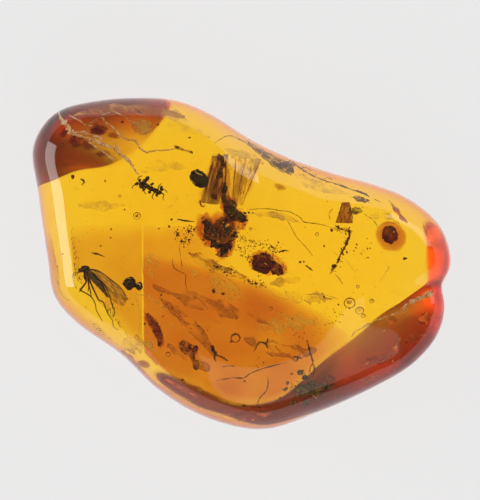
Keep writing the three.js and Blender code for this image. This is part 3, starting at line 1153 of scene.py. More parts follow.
@dataclass
class ResinBlobs:
    """Round pockets of deep red and brown resin with crumbs in them."""

    seeing: Seeing

    def build(self) -> None:
        """Builds the red blob, the droplet, the red plume and the smaller pockets."""
        see = self.seeing
        red = Clay(51)
        for x, y, long, wide, turn in ((2.2, 0.1, 1.35, 0.98, -20), (3.5, -0.35, 1.1, 0.72, -25),
                                       (1.5, 0.15, 0.8, 0.7, 40), (3.0, 0.45, 0.95, 0.5, -15)):
            red.blob(see.under(x, y, 4.6), (long, wide, wide * 0.7), turn, rough=0.14, lumps=2.2, detail=4)
        red.finish("red_blob", TintFinish("red_resin", (0.62, 0.1, 0.02, 1), 1900).make(), Slot.FLAW,
                   smooth=False)
        core = Clay(52)
        centres = [see.under(x, y, 4.4) for x,
                   y in ((1.6, 0.3), (2.3, -0.2), (2.9, 0.6), (3.4, -0.6), (2.2, -0.8),
                                                     (3.9, -0.2), (1.2, 0.3), (2.7, 0.1))]
        core.scatter(centres, 9, 0.26, (0.03, 0.11))
        core.blob(see.under(2.1, 0.05, 4.5), (1.05, 0.88, 0.4), -10, rough=0.2, lumps=2.2, detail=4)
        core.blob(see.under(3.3, -0.45, 4.5), (0.8, 0.5, 0.3), -35, rough=0.2, lumps=2.2, detail=4)
        crumb = MatterFinish("maroon_crumb", srgb(74, 12, 4), srgb(150, 44, 12), grain=0.5, relief=0.05,
                             roughness=0.5, cover=(0.45, 0.9))
        core.finish("red_blob_core", crumb.make(), Slot.DEBRIS)
        drop = Clay(53)
        drop.blob(see.under(14.75, 2.7, 3.6), (1.57, 1.28, 0.8), -10, rough=0.05, detail=4)
        drop.finish("droplet", TintFinish("brown_resin", (0.7, 0.22, 0.06, 1), 1100).make(), Slot.FLAW,
                    smooth=False)
        dark = Clay(54)
        dark.blob(see.under(14.6, 2.86, 3.4), (0.78, 0.74, 0.4), 0, rough=0.09, lumps=2.0, detail=4)
        dark.scatter([see.under(14.6, 2.3, 3.3), see.under(15.2, 2.6, 3.3)], 5, 0.2, (0.03, 0.08))
        disc = MatterFinish("droplet_core", srgb(84, 22, 8), srgb(170, 70, 30), grain=0.4, relief=0.04,
                            roughness=0.4, cover=(0.75, 0.95))
        dark.finish("droplet_core", disc.make(), Slot.DEBRIS)
        # Painted highlights: pale slivers on the droplet's edge and on the red blob, and a dot on the
        # droplet, stand in for the light they catch.
        painted_glints = Clay(55)
        painted_glints.limb(see.chain(((13.95, 2.45), (13.85, 2.1), (13.95, 1.7)), 2.4), (0.02, 0.05, 0.02), sides=6)
        painted_glints.limb(see.chain(((13.3, 3.0), (13.6, 3.7), (14.4, 4.05), (15.2, 3.9)), 3.2), (0.02, 0.04, 0.02),
                  sides=6)
        painted_glints.blob(see.under(15.0, 3.1, 2.8), (0.1, 0.08, 0.08), detail=2)
        for points in (((2.2, 0.05), (2.37, 0.0), (2.55, -0.08)),
                       ((2.85, 0.45), (2.98, 0.38), (3.15, 0.42))):
            painted_glints.limb(see.chain(points, 3.8), (0.02, 0.045, 0.02), sides=6)
        glint = MatterFinish("blob_glint", srgb(235, 190, 130), srgb(255, 240, 215), grain=0.1, relief=0.01)
        painted_glints.finish("blob_glints", glint.make(), Slot.FLAW)
        pocket = Clay(56)
        for x, y, long, wide, turn, depth in (
            (-9.0, -5.6, 0.85, 0.36, -50, 5.0), (-8.25, -6.7, 0.85, 0.38, -60, 5.2),
            (-7.95, -7.75, 0.6, 0.34, -85, 5.4),
            (-14.1, 13.1, 0.9, 0.6, 10, 1.4), (-16.2, 12.1, 0.8, 0.6, -20, 1.4),
            (-13.6, 10.8, 0.6, 0.34, 0, 2.0),
            (-15.1, 11.6, 0.8, 0.4, -25, 1.6), (-12.6, 12.6, 0.6, 0.3, -20, 1.4),
            (-17.4, 12.9, 0.5, 0.4, 40, 1.2),
            (18.1, -5.4, 0.7, 0.42, 30, 1.6), (-9.7, -9.9, 0.72, 0.4, -10, 2.5),
            (3.8, 7.55, 0.62, 0.27, -20, 4.0),
        ):
            pocket.blob(see.under(x, y, depth), (long, wide, wide * 0.8), turn, rough=0.2, lumps=1.8,
                        detail=4)
        plume = Clay(57)
        for points, radii in (
            (((-9.3, -4.9), (-8.85, -5.6), (-8.4, -6.4), (-8.05, -7.3), (-8.1, -8.1)),
             (0.12, 0.36, 0.42, 0.3, 0.12)),
            (((-5.2, -8.0), (-4.9, -8.8), (-4.7, -9.7)), (0.1, 0.32, 0.14)),
        ):
            plume.limb(see.chain(points, 3.4, 0.3, steps=5), radii, sides=10, rough=0.2, flat=0.5)
        stain = MatterFinish("plume", srgb(78, 12, 4), srgb(176, 66, 20), grain=0.6, relief=0.04,
                             roughness=0.5, cover=(0.25, 0.85), cover_range=(0.1, 0.9))
        plume.finish("red_plume", stain.make(), Slot.FLAW)
        pocket.finish("red_pockets", TintFinish("pocket_resin", (0.45, 0.08, 0.03, 1), 2600).make(),
                      Slot.FLAW, smooth=False)


@dataclass
class TwigStrip:
    """A strip of orange wood that frays into a ragged dark thread."""

    seeing: Seeing
    depth: float = 3.6

    def build(self) -> None:
        """Builds the strip, its dark edges and the thread."""
        see = self.seeing
        strip = Clay(61)
        left = ((9.9, 6.0), (9.75, 5.4), (9.5, 4.7), (9.25, 4.0))
        right = ((10.6, 6.05), (10.75, 5.4), (10.85, 4.7), (10.9, 4.0))
        strip.ribbon(see.chain(left, self.depth, steps=5), see.chain(right, self.depth, steps=5), rows=8,
                     thick=0.12, rough=0.07)
        wood = MatterFinish("twig", srgb(160, 74, 14), srgb(244, 166, 70), grain=0.25,
                            stretch=(4.0, 0.5, 1.0),
                            turn=-6, relief=0.04, roughness=0.5, cover=(0.6, 0.92))
        strip.finish("twig_strip", wood.make(), Slot.DEBRIS)
        thread = Clay(62)
        for points, thick in (
            (((9.9, 6.0), (9.75, 5.4), (9.5, 4.7), (9.25, 4.0)), 0.05),
            (((10.6, 6.05), (10.78, 5.3), (10.9, 4.6), (10.9, 4.0)), 0.045),
            (((10.5, 3.4), (10.6, 2.75), (10.4, 2.25), (10.2, 1.76), (9.95, 1.3), (9.7, 0.84), (9.4, 0.08)),
             0.11),
            (((9.2, -0.1), (9.1, -0.4), (8.7, -1.0)), 0.07),
            (((9.3, -1.1), (9.6, -1.5), (9.95, -2.0)), 0.04),
            (((9.2, 3.8), (9.6, 3.45), (10.1, 3.35), (10.8, 3.0)), 0.07),
        ):
            thread.limb(see.chain(points, self.depth - 0.3, 0.4, steps=6),
                        (thick * 0.5, thick, thick * 0.8, thick * 0.4),
                        sides=7, rough=0.4)
        for x, y, size in ((9.1, -0.23, 0.22), (10.3, 2.0, 0.16), (9.85, 1.1, 0.14), (9.55, 0.4, 0.13),
                           (8.85, 3.3, 0.13),
                           (9.5, 3.6, 0.12), (10.6, 3.15, 0.15)):
            thread.blob(see.under(x, y, self.depth - 0.2), (size, size * 0.8, size * 0.7),
                        thread.dice.uniform(0, 180), rough=0.35, detail=3)
        centres = [see.under(x, y, self.depth) for x,
                   y in ((10.2, 2.3), (9.9, 1.4), (9.5, 0.3), (9.0, -0.6), (9.6, 3.4),
                                                            (10.4, 3.3))]
        thread.scatter(centres, 9, 0.18, (0.03, 0.09))
        dark = MatterFinish("twig_fray", srgb(40, 18, 6), srgb(122, 66, 22), grain=0.18, relief=0.04,
                            roughness=0.6)
        thread.finish("twig_fray", dark.make(), Slot.DEBRIS)
        smudges_and_reflection = Clay(63)
        for x, y, long, wide, turn in ((11.2, 5.2, 0.5, 0.3, 20), (11.8, 6.35, 0.6, 0.24, -15)):
            smudges_and_reflection.blob(see.under(x, y, 2.6), (long, wide, 0.12), turn, rough=0.4, lumps=2.4, detail=4)
        # Painted reflection: this grey sheet just under the upper shoulder stands in for the grey reflection
        # along the edge; the two blobs above are smudges by the twig.
        smudges_and_reflection.ribbon(see.chain(((0.5, 12.2), (2.2, 11.2), (3.8, 10.4), (5.3, 9.8)), 0.6, steps=5),
                      see.chain(((0.6, 11.8), (2.0, 10.5), (3.6, 9.4), (4.9, 8.7)), 0.8, steps=5), rows=7,
                      thick=0.05, rough=0.12)
        dust = MatterFinish("dust_and_shoulder_reflection", srgb(104, 72, 30), srgb(168, 130, 66), grain=0.2, relief=0.03,
                            roughness=0.8, cover=(0.25, 0.75))
        smudges_and_reflection.finish("smudges_and_shoulder_reflection", dust.make(), Slot.DEBRIS)


# ---------------------------------------------------------------------------------------------
# Crumbs, flakes, moss and bubbles
# ---------------------------------------------------------------------------------------------


@dataclass
class Crumbs:
    """Fine grains of dust and wood scattered through the resin."""

    seeing: Seeing

    def build(self) -> None:
        """Builds the dark, the brown and the pale grains."""
        see = self.seeing
        dark = Clay(71)
        for x, y, size in (
            (-7.09, 3.63, 0.13), (-6.87, 4.36, 0.11), (-8.09, 3.44, 0.09), (-6.25, 2.83, 0.16),
            (-5.9, 2.2, 0.14),
            (-5.18, 3.21, 0.13), (-4.65, 3.37, 0.12), (-5.11, 2.37, 0.12), (-2.35, -0.31, 0.14),
            (-1.66, -0.84, 0.14),
            (-0.97, -0.54, 0.12), (4.1, 1.26, 0.12), (0.69, -1.7, 0.12), (1.37, -1.9, 0.13),
            (1.9, -2.07, 0.1),
            (-2.73, -2.68, 0.22), (-1.82, -2.95, 0.17), (-0.51, -5.36, 0.1), (-7.86, -3.06, 0.12),
            (4.97, -5.4, 0.1),
            (9.5, -4.0, 0.1), (10.6, -4.36, 0.1), (8.1, -3.25, 0.12), (-11.47, 5.32, 0.09),
            (-12.81, 3.4, 0.1),
            (-12.85, 2.56, 0.08), (-13.83, 1.76, 0.1), (-17.59, 0.96, 0.1), (-16.56, 8.55, 0.22),
            (-13.4, 8.13, 0.1),
            (-11.7, 13.95, 0.16), (-17.6, 11.65, 0.18), (-8.2, 13.68, 0.13), (-5.11, 12.38, 0.12),
            (8.1, 1.74, 0.1),
            (3.6, 2.1, 0.1), (-4.5, -8.3, 0.3), (-9.5, -5.9, 0.12), (-5.8, -11.4, 0.16), (0.3, -11.5, 0.12),
            (4.9, -10.8, 0.12), (3.8, -13.2, 0.12), (16.2, -7.7, 0.13), (15.9, -9.0, 0.12),
            (-10.67, -3.98, 0.09),
            (5.74, 0.17, 0.14), (6.1, 0.2, 0.1), (7.9, -13.0, 0.1), (11.3, 1.9, 0.09), (12.4, 0.6, 0.08),
        ):
            depth = dark.dice.uniform(1.6, 5.0) if abs(x) < 14 and abs(y) < 9 else 1.2
            dark.blob(see.under(x, y, depth), (size, size * 0.8, size * 0.7), dark.dice.uniform(0, 180),
                      rough=0.25,
                      lumps=2.0, detail=2)
        dark.blob(see.under(16.05, 0.5, 1.8), (0.22, 0.11, 0.1), 10, rough=0.2, detail=3)
        clouds = (
            ((-6.2, 2.9), (-5.9, 2.2), (-5.3, 2.5), (-4.9, 3.2), (-5.3, 3.3)),
            ((-2.4, -0.2), (-2.0, -0.5), (-1.5, -0.8), (-1.1, -0.5), (-0.8, -0.9)),
            ((-0.4, 2.5), (0.3, 2.3), (0.9, 2.1), (1.5, 1.9), (2.1, 1.8), (2.8, 1.6), (3.3, 1.3),
             (0.0, 1.4), (0.6, 1.0)),
            ((0.6, -1.6), (1.1, -1.8), (1.6, -2.0), (2.1, -2.1)),
            ((-4.4, -6.2), (-3.4, -6.5), (-5.2, -5.4)),
            ((2.4, -9.6), (1.4, -10.4), (3.4, -8.8)), ((5.4, -6.6), (6.0, -7.2)),
            ((-7.4, -4.2), (-6.6, -4.6)),
            ((9.4, -5.0), (8.4, -5.6), (7.4, -6.6)), ((12.4, 1.6), (11.6, 1.2)),
        )
        for cloud, count, spread in zip(clouds, (20, 18, 20, 16, 9, 10, 9, 8, 9, 7),
                                        (0.26, 0.2, 0.26, 0.18, 0.4, 0.4, 0.3, 0.3, 0.4, 0.3)):
            dark.scatter([see.under(x, y, 3.4) for x, y in cloud], count, spread, (0.02, 0.085))
        grain = MatterFinish("dark_crumb", srgb(46, 16, 5), srgb(140, 62, 20), grain=0.15, relief=0.03,
                             roughness=0.55)
        dark.finish("dark_crumbs", grain.make(), Slot.DEBRIS)
        fine = Clay(72)
        for _ in range(420):
            x, y = fine.dice.uniform(-16.5, 16.0), fine.dice.uniform(-11.5, 10.5)
            if see.room(x, y, 3.0) > 1.5:
                fine.crumb(see.under(x, y, fine.dice.uniform(0.8, 7.5)), fine.dice.uniform(0.012, 0.045))
        dust = MatterFinish("fine_dust", srgb(70, 34, 10), srgb(190, 130, 60), grain=0.1, relief=0.01,
                            roughness=0.6)
        fine.finish("fine_dust", dust.make(), Slot.DEBRIS)
        pale = Clay(73)
        for x, y, size in ((-15.91, 2.22, 0.07), (-11.43, 0.69, 0.06), (-10.4, 7.1, 0.05), (5.2, 4.1, 0.06),
                           (7.0, -2.0, 0.05),
                           (14.0, -6.6, 0.09), (14.9, -9.6, 0.1), (11.0, 0.9, 0.05), (-6.9, -6.0, 0.06),
                           (3.3, -6.6, 0.05)):
            pale.blob(see.under(x, y, 1.0), (size, size, size * 0.8), rough=0.1, detail=2)
        bright = MatterFinish("white_dot", srgb(240, 220, 170), srgb(255, 250, 235), grain=0.1, relief=0.01)
        pale.finish("white_dots", bright.make(), Slot.FLAW)


@dataclass
class MossChunk:
    """A shaggy olive-brown chunk with bits broken off it, and a spiky thread above."""

    seeing: Seeing
    depth: float = 1.3

    def build(self) -> None:
        """Builds the chunk, the thread and the pale arcs."""
        see = self.seeing
        clay = Clay(81)
        for x, y, long, wide, turn in (
            (7.1, -12.2, 0.85, 0.5, 8), (6.0, -12.4, 0.7, 0.42, -10), (8.3, -12.1, 0.55, 0.3, 5),
            (7.3, -12.6, 0.6, 0.34, 0),
            (5.8, -10.65, 0.28, 0.22, 20), (6.25, -11.2, 0.3, 0.24, -20), (5.1, -13.7, 0.3, 0.2, 30),
            (6.4, -13.7, 0.36, 0.3, 80),
            (5.5, -13.0, 0.24, 0.16, 0), (4.35, -12.3, 0.2, 0.12, 40), (4.5, -11.7, 0.17, 0.12, 70),
            (6.7, -11.7, 0.3, 0.22, 60),
        ):
            clay.blob(see.under(x, y, self.depth), (long, wide, wide * 0.8), turn, rough=0.36, lumps=2.6,
                      detail=4)
        for _ in range(150):
            x, y = clay.dice.gauss(6.9, 1.0), clay.dice.gauss(-12.3, 0.42)
            root = see.under(x, y, self.depth + clay.dice.uniform(-0.3, 0.3))
            lean = Vector((clay.dice.gauss(0, 1), clay.dice.gauss(0, 1),
                           clay.dice.gauss(0.2, 0.5))).normalized()
            bend = Vector((clay.dice.gauss(0, 1), clay.dice.gauss(0, 1), 0)) * 0.12 * MM
            long = clay.dice.uniform(0.18, 0.45) * MM
            clay.limb([root, root + lean * long * 0.5 + bend * 0.5, root + lean * long + bend],
                      (0.035, 0.03, 0.008),
                      sides=4)
        clay.scatter([see.under(x, y, self.depth) for x,
                      y in ((6.3, -12.9), (7.8, -12.6), (5.4, -12.2), (6.2, -11.0),
                                                               (6.3, -13.6), (8.6, -12.0))], 14, 0.22,
                     (0.03, 0.1))
        moss = MatterFinish("moss", srgb(52, 38, 16), srgb(158, 130, 72), grain=0.16, relief=0.05,
                            roughness=0.75)
        clay.finish("moss_chunk", moss.make(), Slot.DEBRIS)
        thread = Clay(82)
        for points in (
            ((6.5, -7.8), (6.65, -8.4), (6.8, -8.95), (7.0, -9.7), (6.8, -10.1), (6.6, -10.7)),
            ((7.1, -9.9), (7.15, -10.5), (7.0, -11.1)), ((5.1, -9.1), (5.5, -9.15), (5.95, -9.3)),
            ((5.5, -9.15), (5.45, -9.5)),
            ((-2.6, -8.9), (-1.9, -9.15), (-1.3, -9.55)), ((-2.6, -8.8), (-2.65, -9.2), (-2.5, -9.6)),
            ((2.6, -7.3), (2.4, -7.8), (1.75, -7.7), (1.2, -8.6)), ((2.4, -7.8), (2.55, -8.3)),
            ((-15.8, 8.3), (-15.5, 8.15), (-15.45, 7.95), (-15.7, 7.8)),
            ((-14.72, 1.07), (-14.1, 0.95), (-13.42, 0.69)),
            ((-6.25, 4.36), (-5.49, 4.21), (-4.57, 4.13)), ((6.27, -0.15), (6.6, -0.4), (6.96, -0.69)),
            ((3.6, 1.1), (4.1, 1.3), (4.6, 1.25)),
        ):
            line = see.chain(points, self.depth, 0.2, steps=5)
            thread.limb(line, (0.05, 0.08, 0.06, 0.03), sides=6, rough=0.35)
            for place in line[2:-1:2]:
                spike = Vector((thread.dice.uniform(-1, 1), thread.dice.uniform(-1, 1), 0.3)) * 0.22 * MM
                thread.limb([place, place + spike], (0.035, 0.008), sides=4)
        thread.blob(see.under(-2.8, -8.3, self.depth), (0.17, 0.36, 0.16), 12, rough=0.3, detail=3)
        thread.blob(see.under(-2.55, -8.75, self.depth), (0.14, 0.2, 0.14), -10, rough=0.3, detail=3)
        dark = MatterFinish("dark_thread", srgb(22, 12, 5), srgb(86, 48, 18), grain=0.14, relief=0.03,
                            roughness=0.6)
        thread.finish("dark_threads", dark.make(), Slot.DEBRIS)


@dataclass
class Flakes:
    """Thin flakes of brown bark and resin."""

    seeing: Seeing

    def build(self) -> None:
        """Builds the flakes."""
        see = self.seeing
        clay = Clay(91)
        for first, second, depth in (
            (((-6.2, -7.7), (-5.6, -7.6), (-5.0, -7.85), (-4.4, -8.0)),
             ((-6.0, -8.6), (-5.5, -8.95), (-5.0, -8.8), (-4.4, -8.7)), 4.0),
            (((-4.8, -9.5), (-4.5, -9.4), (-4.2, -9.5)), ((-4.8, -10.3), (-4.5, -10.45), (-4.2, -10.3)),
             3.6),
            (((-6.64, 11.6), (-6.0, 11.45), (-5.3, 11.2), (-4.72, 10.95)),
             ((-6.5, 11.3), (-6.0, 11.15), (-5.3, 10.9), (-4.8, 10.8)), 2.0),
            (((9.1, -12.95), (9.6, -12.9), (10.2, -12.95)), ((9.1, -13.3), (9.6, -13.45), (10.2, -13.4)),
             1.4),
            (((8.1, -10.9), (8.7, -11.0), (9.3, -11.3)), ((8.1, -11.25), (8.6, -11.5), (9.2, -11.65)), 2.0),
            (((5.2, 8.9), (4.6, 9.3), (3.8, 9.4), (3.1, 9.7)),
             ((5.0, 9.8), (4.4, 10.1), (3.7, 10.0), (3.2, 10.1)), 1.0),
        ):
            clay.ribbon(see.chain(first, depth, steps=5), see.chain(second, depth, steps=5), rows=6,
                        thick=0.06, rough=0.16)
        finish = MatterFinish("bark_flake", srgb(104, 48, 16), srgb(190, 122, 52), grain=0.3, relief=0.05,
                              roughness=0.6, cover=(0.35, 0.9))
        clay.finish("bark_flakes", finish.make(), Slot.DEBRIS)


@dataclass
class Bubbles:
    """Gas bubbles and a loop of thread, each seen as a dark ring round a bright middle; on the bubbles the
    dark ring is painted shade and the bright middle a painted highlight.
    """

    seeing: Seeing

    def build(self) -> None:
        """Builds the rings, their dark middles and the painted highlights in the bubbles."""
        see = self.seeing
        # Painted shade: the dark rings stand in for the shaded edges of the bubbles; the loop of thread
        # among them is real.
        clay = Clay(101)
        for x, y, size, thick, depth in (
            (-10.25, 4.67, 0.34, 0.035, 2.2), (10.6, -3.85, 0.5, 0.05, 2.4), (12.8, -3.66, 0.2, 0.035, 2.0),
            (11.6, -4.6, 0.37, 0.045, 2.2), (11.95, -5.1, 0.2, 0.035, 2.0), (11.4, -2.25, 0.14, 0.03, 2.0),
            (-0.6, -7.3, 0.42, 0.075, 3.0), (-11.9, 6.6, 0.12, 0.025, 2.0), (7.4, 2.9, 0.15, 0.03, 2.6),
            (-7.2, -8.9, 0.22, 0.035, 2.4), (2.9, -4.4, 0.16, 0.03, 3.0), (0.9, 3.4, 0.12, 0.03, 3.0),
        ):
            centre = see.under(x, y, depth)
            ring = [centre + Vector((math.cos(turn), math.sin(turn) * 0.92, 0)) * size * MM
                    for turn in (step / 24 * math.tau for step in range(25))]
            clay.limb(ring, (thick, thick * 1.5, thick, thick * 0.7, thick), sides=7, rough=0.12)
        clay.blob(see.under(-10.25, 4.67, 2.2), (0.16, 0.15, 0.12), rough=0.1, detail=3)
        clay.blob(see.under(-1.02, -7.62, 3.0), (0.15, 0.1, 0.1), 30, rough=0.2, detail=3)
        finish = MatterFinish("bubble_rim", srgb(92, 40, 10), srgb(170, 96, 30), grain=0.2, relief=0.01,
                              roughness=0.3, cover=(0.55, 0.85), sheen=0.3)
        clay.finish("bubble_rims", finish.make(), Slot.FLAW)
        # Painted highlights: pale blobs in the middles of the bubbles.
        pale = Clay(102)
        for x, y, size, depth in ((10.55, -3.75, 0.26, 2.0), (12.8, -3.64, 0.11, 1.8),
                                  (11.57, -4.52, 0.2, 2.0),
                                  (11.95, -5.08, 0.1, 1.8), (-10.12, 4.8, 0.07, 1.9)):
            pale.blob(see.under(x, y, depth), (size, size * 0.8, size * 0.5), rough=0.1, detail=3)
        light = MatterFinish("bubble_highlight", srgb(236, 196, 120), srgb(255, 240, 200), grain=0.3,
                             relief=0.01,
                             roughness=0.2, cover=(0.3, 0.75))
        pale.finish("bubble_highlights", light.make(), Slot.FLAW)


# ---------------------------------------------------------------------------------------------
# Fissures and veils
# ---------------------------------------------------------------------------------------------


@dataclass
class Fissures:
    """Cracks: cream crumpled ones that reach the surface, dark hairlines and pale threads."""

    seeing: Seeing

    def build(self) -> None:
        """Builds the cracks by kind."""
        self._cream()
        self._dark()
        self._pale()
        self._ridge()

    def _crack(self, clay: Clay, points: Sequence[Seen], width: float, depth: float, lean: float,
               rough: float = 0.06) -> None:
        """Adds a crumpled crack that runs down into the resin.

        Args:
            clay: The piece it belongs to.
            points: Its line as seen from above, in millimetres.
            width: Its width as seen from above, in millimetres.
            depth: Depth of its upper edge, in millimetres.
            lean: How much deeper its lower edge lies, in millimetres.
            rough: How far it is crumpled, in millimetres.
        """
        (x0, y0), (x1, y1) = points[0], points[-1]
        along = Vector((x1 - x0, y1 - y0)).normalized()
        aside = Vector((-along.y, along.x)) * width / 2
        upper = [(x + aside.x, y + aside.y) for x, y in points]
        lower = [(x - aside.x, y - aside.y) for x, y in points]
        first = self.seeing.chain(upper, depth, steps=6)
        second = self.seeing.chain(lower, depth + lean, steps=6)
        jag = noise.noise_vector(first[0] / MM) * 9
        for index, (start, stop) in enumerate(zip(first, second)):
            share = 0.62 + 0.55 * noise.noise(Vector((index * 0.43, jag.x, jag.y)))
            middle = (start + stop) / 2
            start.xyz = middle + (start - middle) * share
            stop.xyz = middle + (stop - middle) * share
        clay.ribbon(first, second, rows=4, thick=0.025, rough=rough)

    def _cream(self) -> None:
        """Builds the cream fissures at the top left and the rough pink ones at the right."""
        clay = Clay(111)
        for points, width, lean in (
            (((-18.0, 15.0), (-17.86, 14.4), (-17.5, 13.9), (-16.9, 13.2), (-16.6, 12.8), (-15.6, 12.45),
              (-14.6, 12.1),
              (-13.5, 11.7), (-12.6, 11.3), (-11.8, 10.7), (-11.2, 10.2), (-10.6, 9.5)), 0.34, 0.5),
            (((-17.5, 14.0), (-17.2, 13.6), (-16.9, 13.1), (-16.65, 12.75)), 0.62, 0.3),
            (((-12.35, 11.7), (-12.2, 11.4), (-12.0, 11.1)), 0.16, 0.4),
            (((-14.9, 13.75), (-14.3, 14.15), (-13.7, 14.3), (-13.4, 13.9), (-12.65, 13.4), (-12.0, 12.7),
              (-11.3, 12.2),
              (-10.4, 12.0), (-10.05, 11.4), (-9.15, 10.8)), 0.2, 0.4),
            (((-9.15, 10.9), (-8.3, 11.1), (-7.4, 11.1), (-6.5, 11.3)), 0.12, 0.4),
            (((-16.6, 12.9), (-15.6, 12.9), (-14.6, 12.6), (-13.6, 12.3)), 0.26, 0.4),
            (((-17.0, 14.6), (-16.2, 14.2), (-15.4, 13.7), (-14.7, 13.5)), 0.16, 0.3),
            (((-15.0, 11.9), (-14.2, 11.4), (-13.2, 10.7), (-12.4, 10.1)), 0.14, 0.4),
            (((-13.8, 14.6), (-12.6, 14.9), (-11.4, 14.4), (-10.4, 13.6)), 0.1, 0.3),
            (((-10.9, 9.8), (-10.4, 9.1), (-10.1, 8.7)), 0.12, 0.4),
            (((15.9, -4.7), (16.2, -4.2), (16.5, -3.9), (17.2, -3.55), (18.1, -3.2), (18.9, -2.7)), 0.5,
             0.5),
            (((10.7, -7.15), (11.2, -6.7), (11.76, -6.3), (12.7, -5.8)), 0.16, 0.5),
            (((12.9, -5.7), (13.9, -5.3), (14.9, -5.0), (15.9, -4.7)), 0.12, 0.4),
        ):
            self._crack(clay, points, width * 1.35, 0.12, lean, rough=0.09)
        finish = MatterFinish("cream_fissure", srgb(240, 190, 130), srgb(255, 250, 238), grain=0.3,
                              relief=0.05,
                              roughness=0.6, cover=(1.0, 0.5), cover_range=(0.15, 0.55))
        clay.finish("cream_fissures", finish.make(), Slot.FLAW)

    def _dark(self) -> None:
        """Builds the dark hairlines."""
        clay = Clay(112)
        see = self.seeing
        for points, thick, depth in (
            (((0.69, 5.28), (1.76, 5.39), (2.98, 5.36), (3.75, 5.2), (4.59, 5.13), (5.2, 4.86), (5.8, 4.5),
              (6.1, 4.1),
              (7.27, 3.94), (8.0, 3.8), (8.7, 3.6)), 0.04, 1.6),
            (((4.4, 4.36), (4.74, 3.83), (5.35, 2.68), (6.04, 1.91), (6.58, 1.3), (6.96, 0.77)), 0.03, 1.8),
            (((-6.79, 0.46), (-6.64, -0.31), (-6.18, -0.69), (-5.49, -1.07), (-5.49, -1.91),
              (-5.26, -2.68)), 0.035, 2.0),
            (((-6.1, 1.84), (-5.95, 0.54), (-5.79, -0.54)), 0.025, 2.0),
            (((2.6, -11.2), (2.6, -11.85), (2.4, -12.5), (1.8, -13.2), (1.4, -14.15)), 0.06, 1.0),
            (((-2.5, -11.5), (-1.0, -11.2), (0.2, -11.2), (0.8, -10.8), (2.0, -10.3), (3.5, -9.9),
              (4.4, -9.7)), 0.055, 1.4),
            (((-1.9, -10.1), (-1.2, -10.0), (-0.6, -10.1)), 0.045, 1.6),
            (((-11.1, 15.6), (-10.5, 15.2), (-9.8, 14.7)), 0.06, 0.5),
            (((17.9, 3.85), (18.05, 3.3), (18.2, 2.7)), 0.05, 0.6),
            (((-4.7, -3.2), (-4.0, -3.6), (-3.3, -4.4)), 0.03, 2.4),
            (((9.0, 5.5), (8.6, 4.9), (8.7, 4.3)), 0.03, 2.0),
            (((12.0, 4.9), (12.9, 4.3), (13.4, 3.6)), 0.03, 1.6),
        ):
            clay.limb(see.chain(points, depth, 0.2, steps=6),
                      (thick * 0.5, thick, thick * 0.7, thick, thick * 0.4),
                      sides=6, rough=0.45)
        finish = MatterFinish("dark_hairline", srgb(44, 18, 6), srgb(128, 70, 24), grain=0.18, relief=0.02,
                              roughness=0.5)
        clay.finish("dark_hairlines", finish.make(), Slot.FLAW)

    def _pale(self) -> None:
        """Builds the pale thin threads of healed cracks."""
        clay = Clay(113)
        see = self.seeing
        for points, thick, depth in (
            (((-4.72, 0.23), (-3.5, -0.35), (-2.35, -0.92), (-1.4, -1.45), (-0.44, -1.99)), 0.035, 2.4),
            (((-9.89, 1.07), (-9.75, 0.0), (-9.58, -1.3)), 0.03, 3.0),
            (((-10.46, -2.83), (-10.0, -3.06), (-9.31, -3.06), (-8.78, -3.37), (-8.09, -3.98),
              (-7.55, -4.44),
              (-7.1, -4.82)), 0.05, 1.6),
            (((-10.46, -3.14), (-10.16, -3.83), (-10.0, -4.74), (-9.96, -5.65), (-10.2, -7.4)), 0.04, 1.8),
            (((14.55, -0.18), (14.1, -1.0), (13.5, -1.8)), 0.035, 1.4),
            (((-8.75, -7.2), (-8.8, -8.4), (-8.72, -9.6)), 0.05, 1.8),
            (((5.6, -13.0), (6.1, -12.75), (6.7, -12.85), (7.2, -13.1), (7.6, -13.5)), 0.045, 1.2),
            (((5.97, -3.06), (7.2, -2.95), (8.26, -3.06), (9.0, -3.3), (9.56, -3.5)), 0.05, 2.0),
            (((4.2, -2.45), (4.4, -3.0), (4.8, -3.37), (5.3, -3.75), (5.7, -3.8), (5.97, -3.2)), 0.04, 2.2),
            (((2.5, -2.45), (3.0, -2.9), (3.4, -3.2), (4.0, -3.45), (4.66, -3.5)), 0.04, 2.2),
            (((-7.3, 5.4), (-6.6, 5.9), (-6.2, 6.7)), 0.025, 2.0),
            (((1.2, -3.4), (2.2, -4.1), (3.4, -4.6)), 0.025, 2.6),
            (((8.9, 1.2), (10.3, 0.3), (11.2, -0.9)), 0.025, 2.2),
            (((-3.3, -5.2), (-2.0, -6.0), (-1.4, -6.9)), 0.03, 2.6),
            (((11.8, -9.97), (12.9, -9.7), (13.9, -9.6), (14.75, -8.8), (15.4, -7.8), (15.7, -7.2)), 0.1,
             1.0),
            (((11.8, -11.5), (12.65, -11.6), (13.65, -10.96)), 0.07, 0.9),
        ):
            clay.limb(see.chain(points, depth, 0.1, steps=6),
                      (thick * 0.4, thick, thick * 0.6, thick, thick * 0.4),
                      sides=6, rough=0.4)
        finish = MatterFinish("pale_thread", srgb(244, 176, 110), srgb(255, 242, 210), grain=0.3,
                              relief=0.02,
                              roughness=0.4, cover=(0.85, 0.25))
        clay.finish("pale_threads", finish.make(), Slot.FLAW)

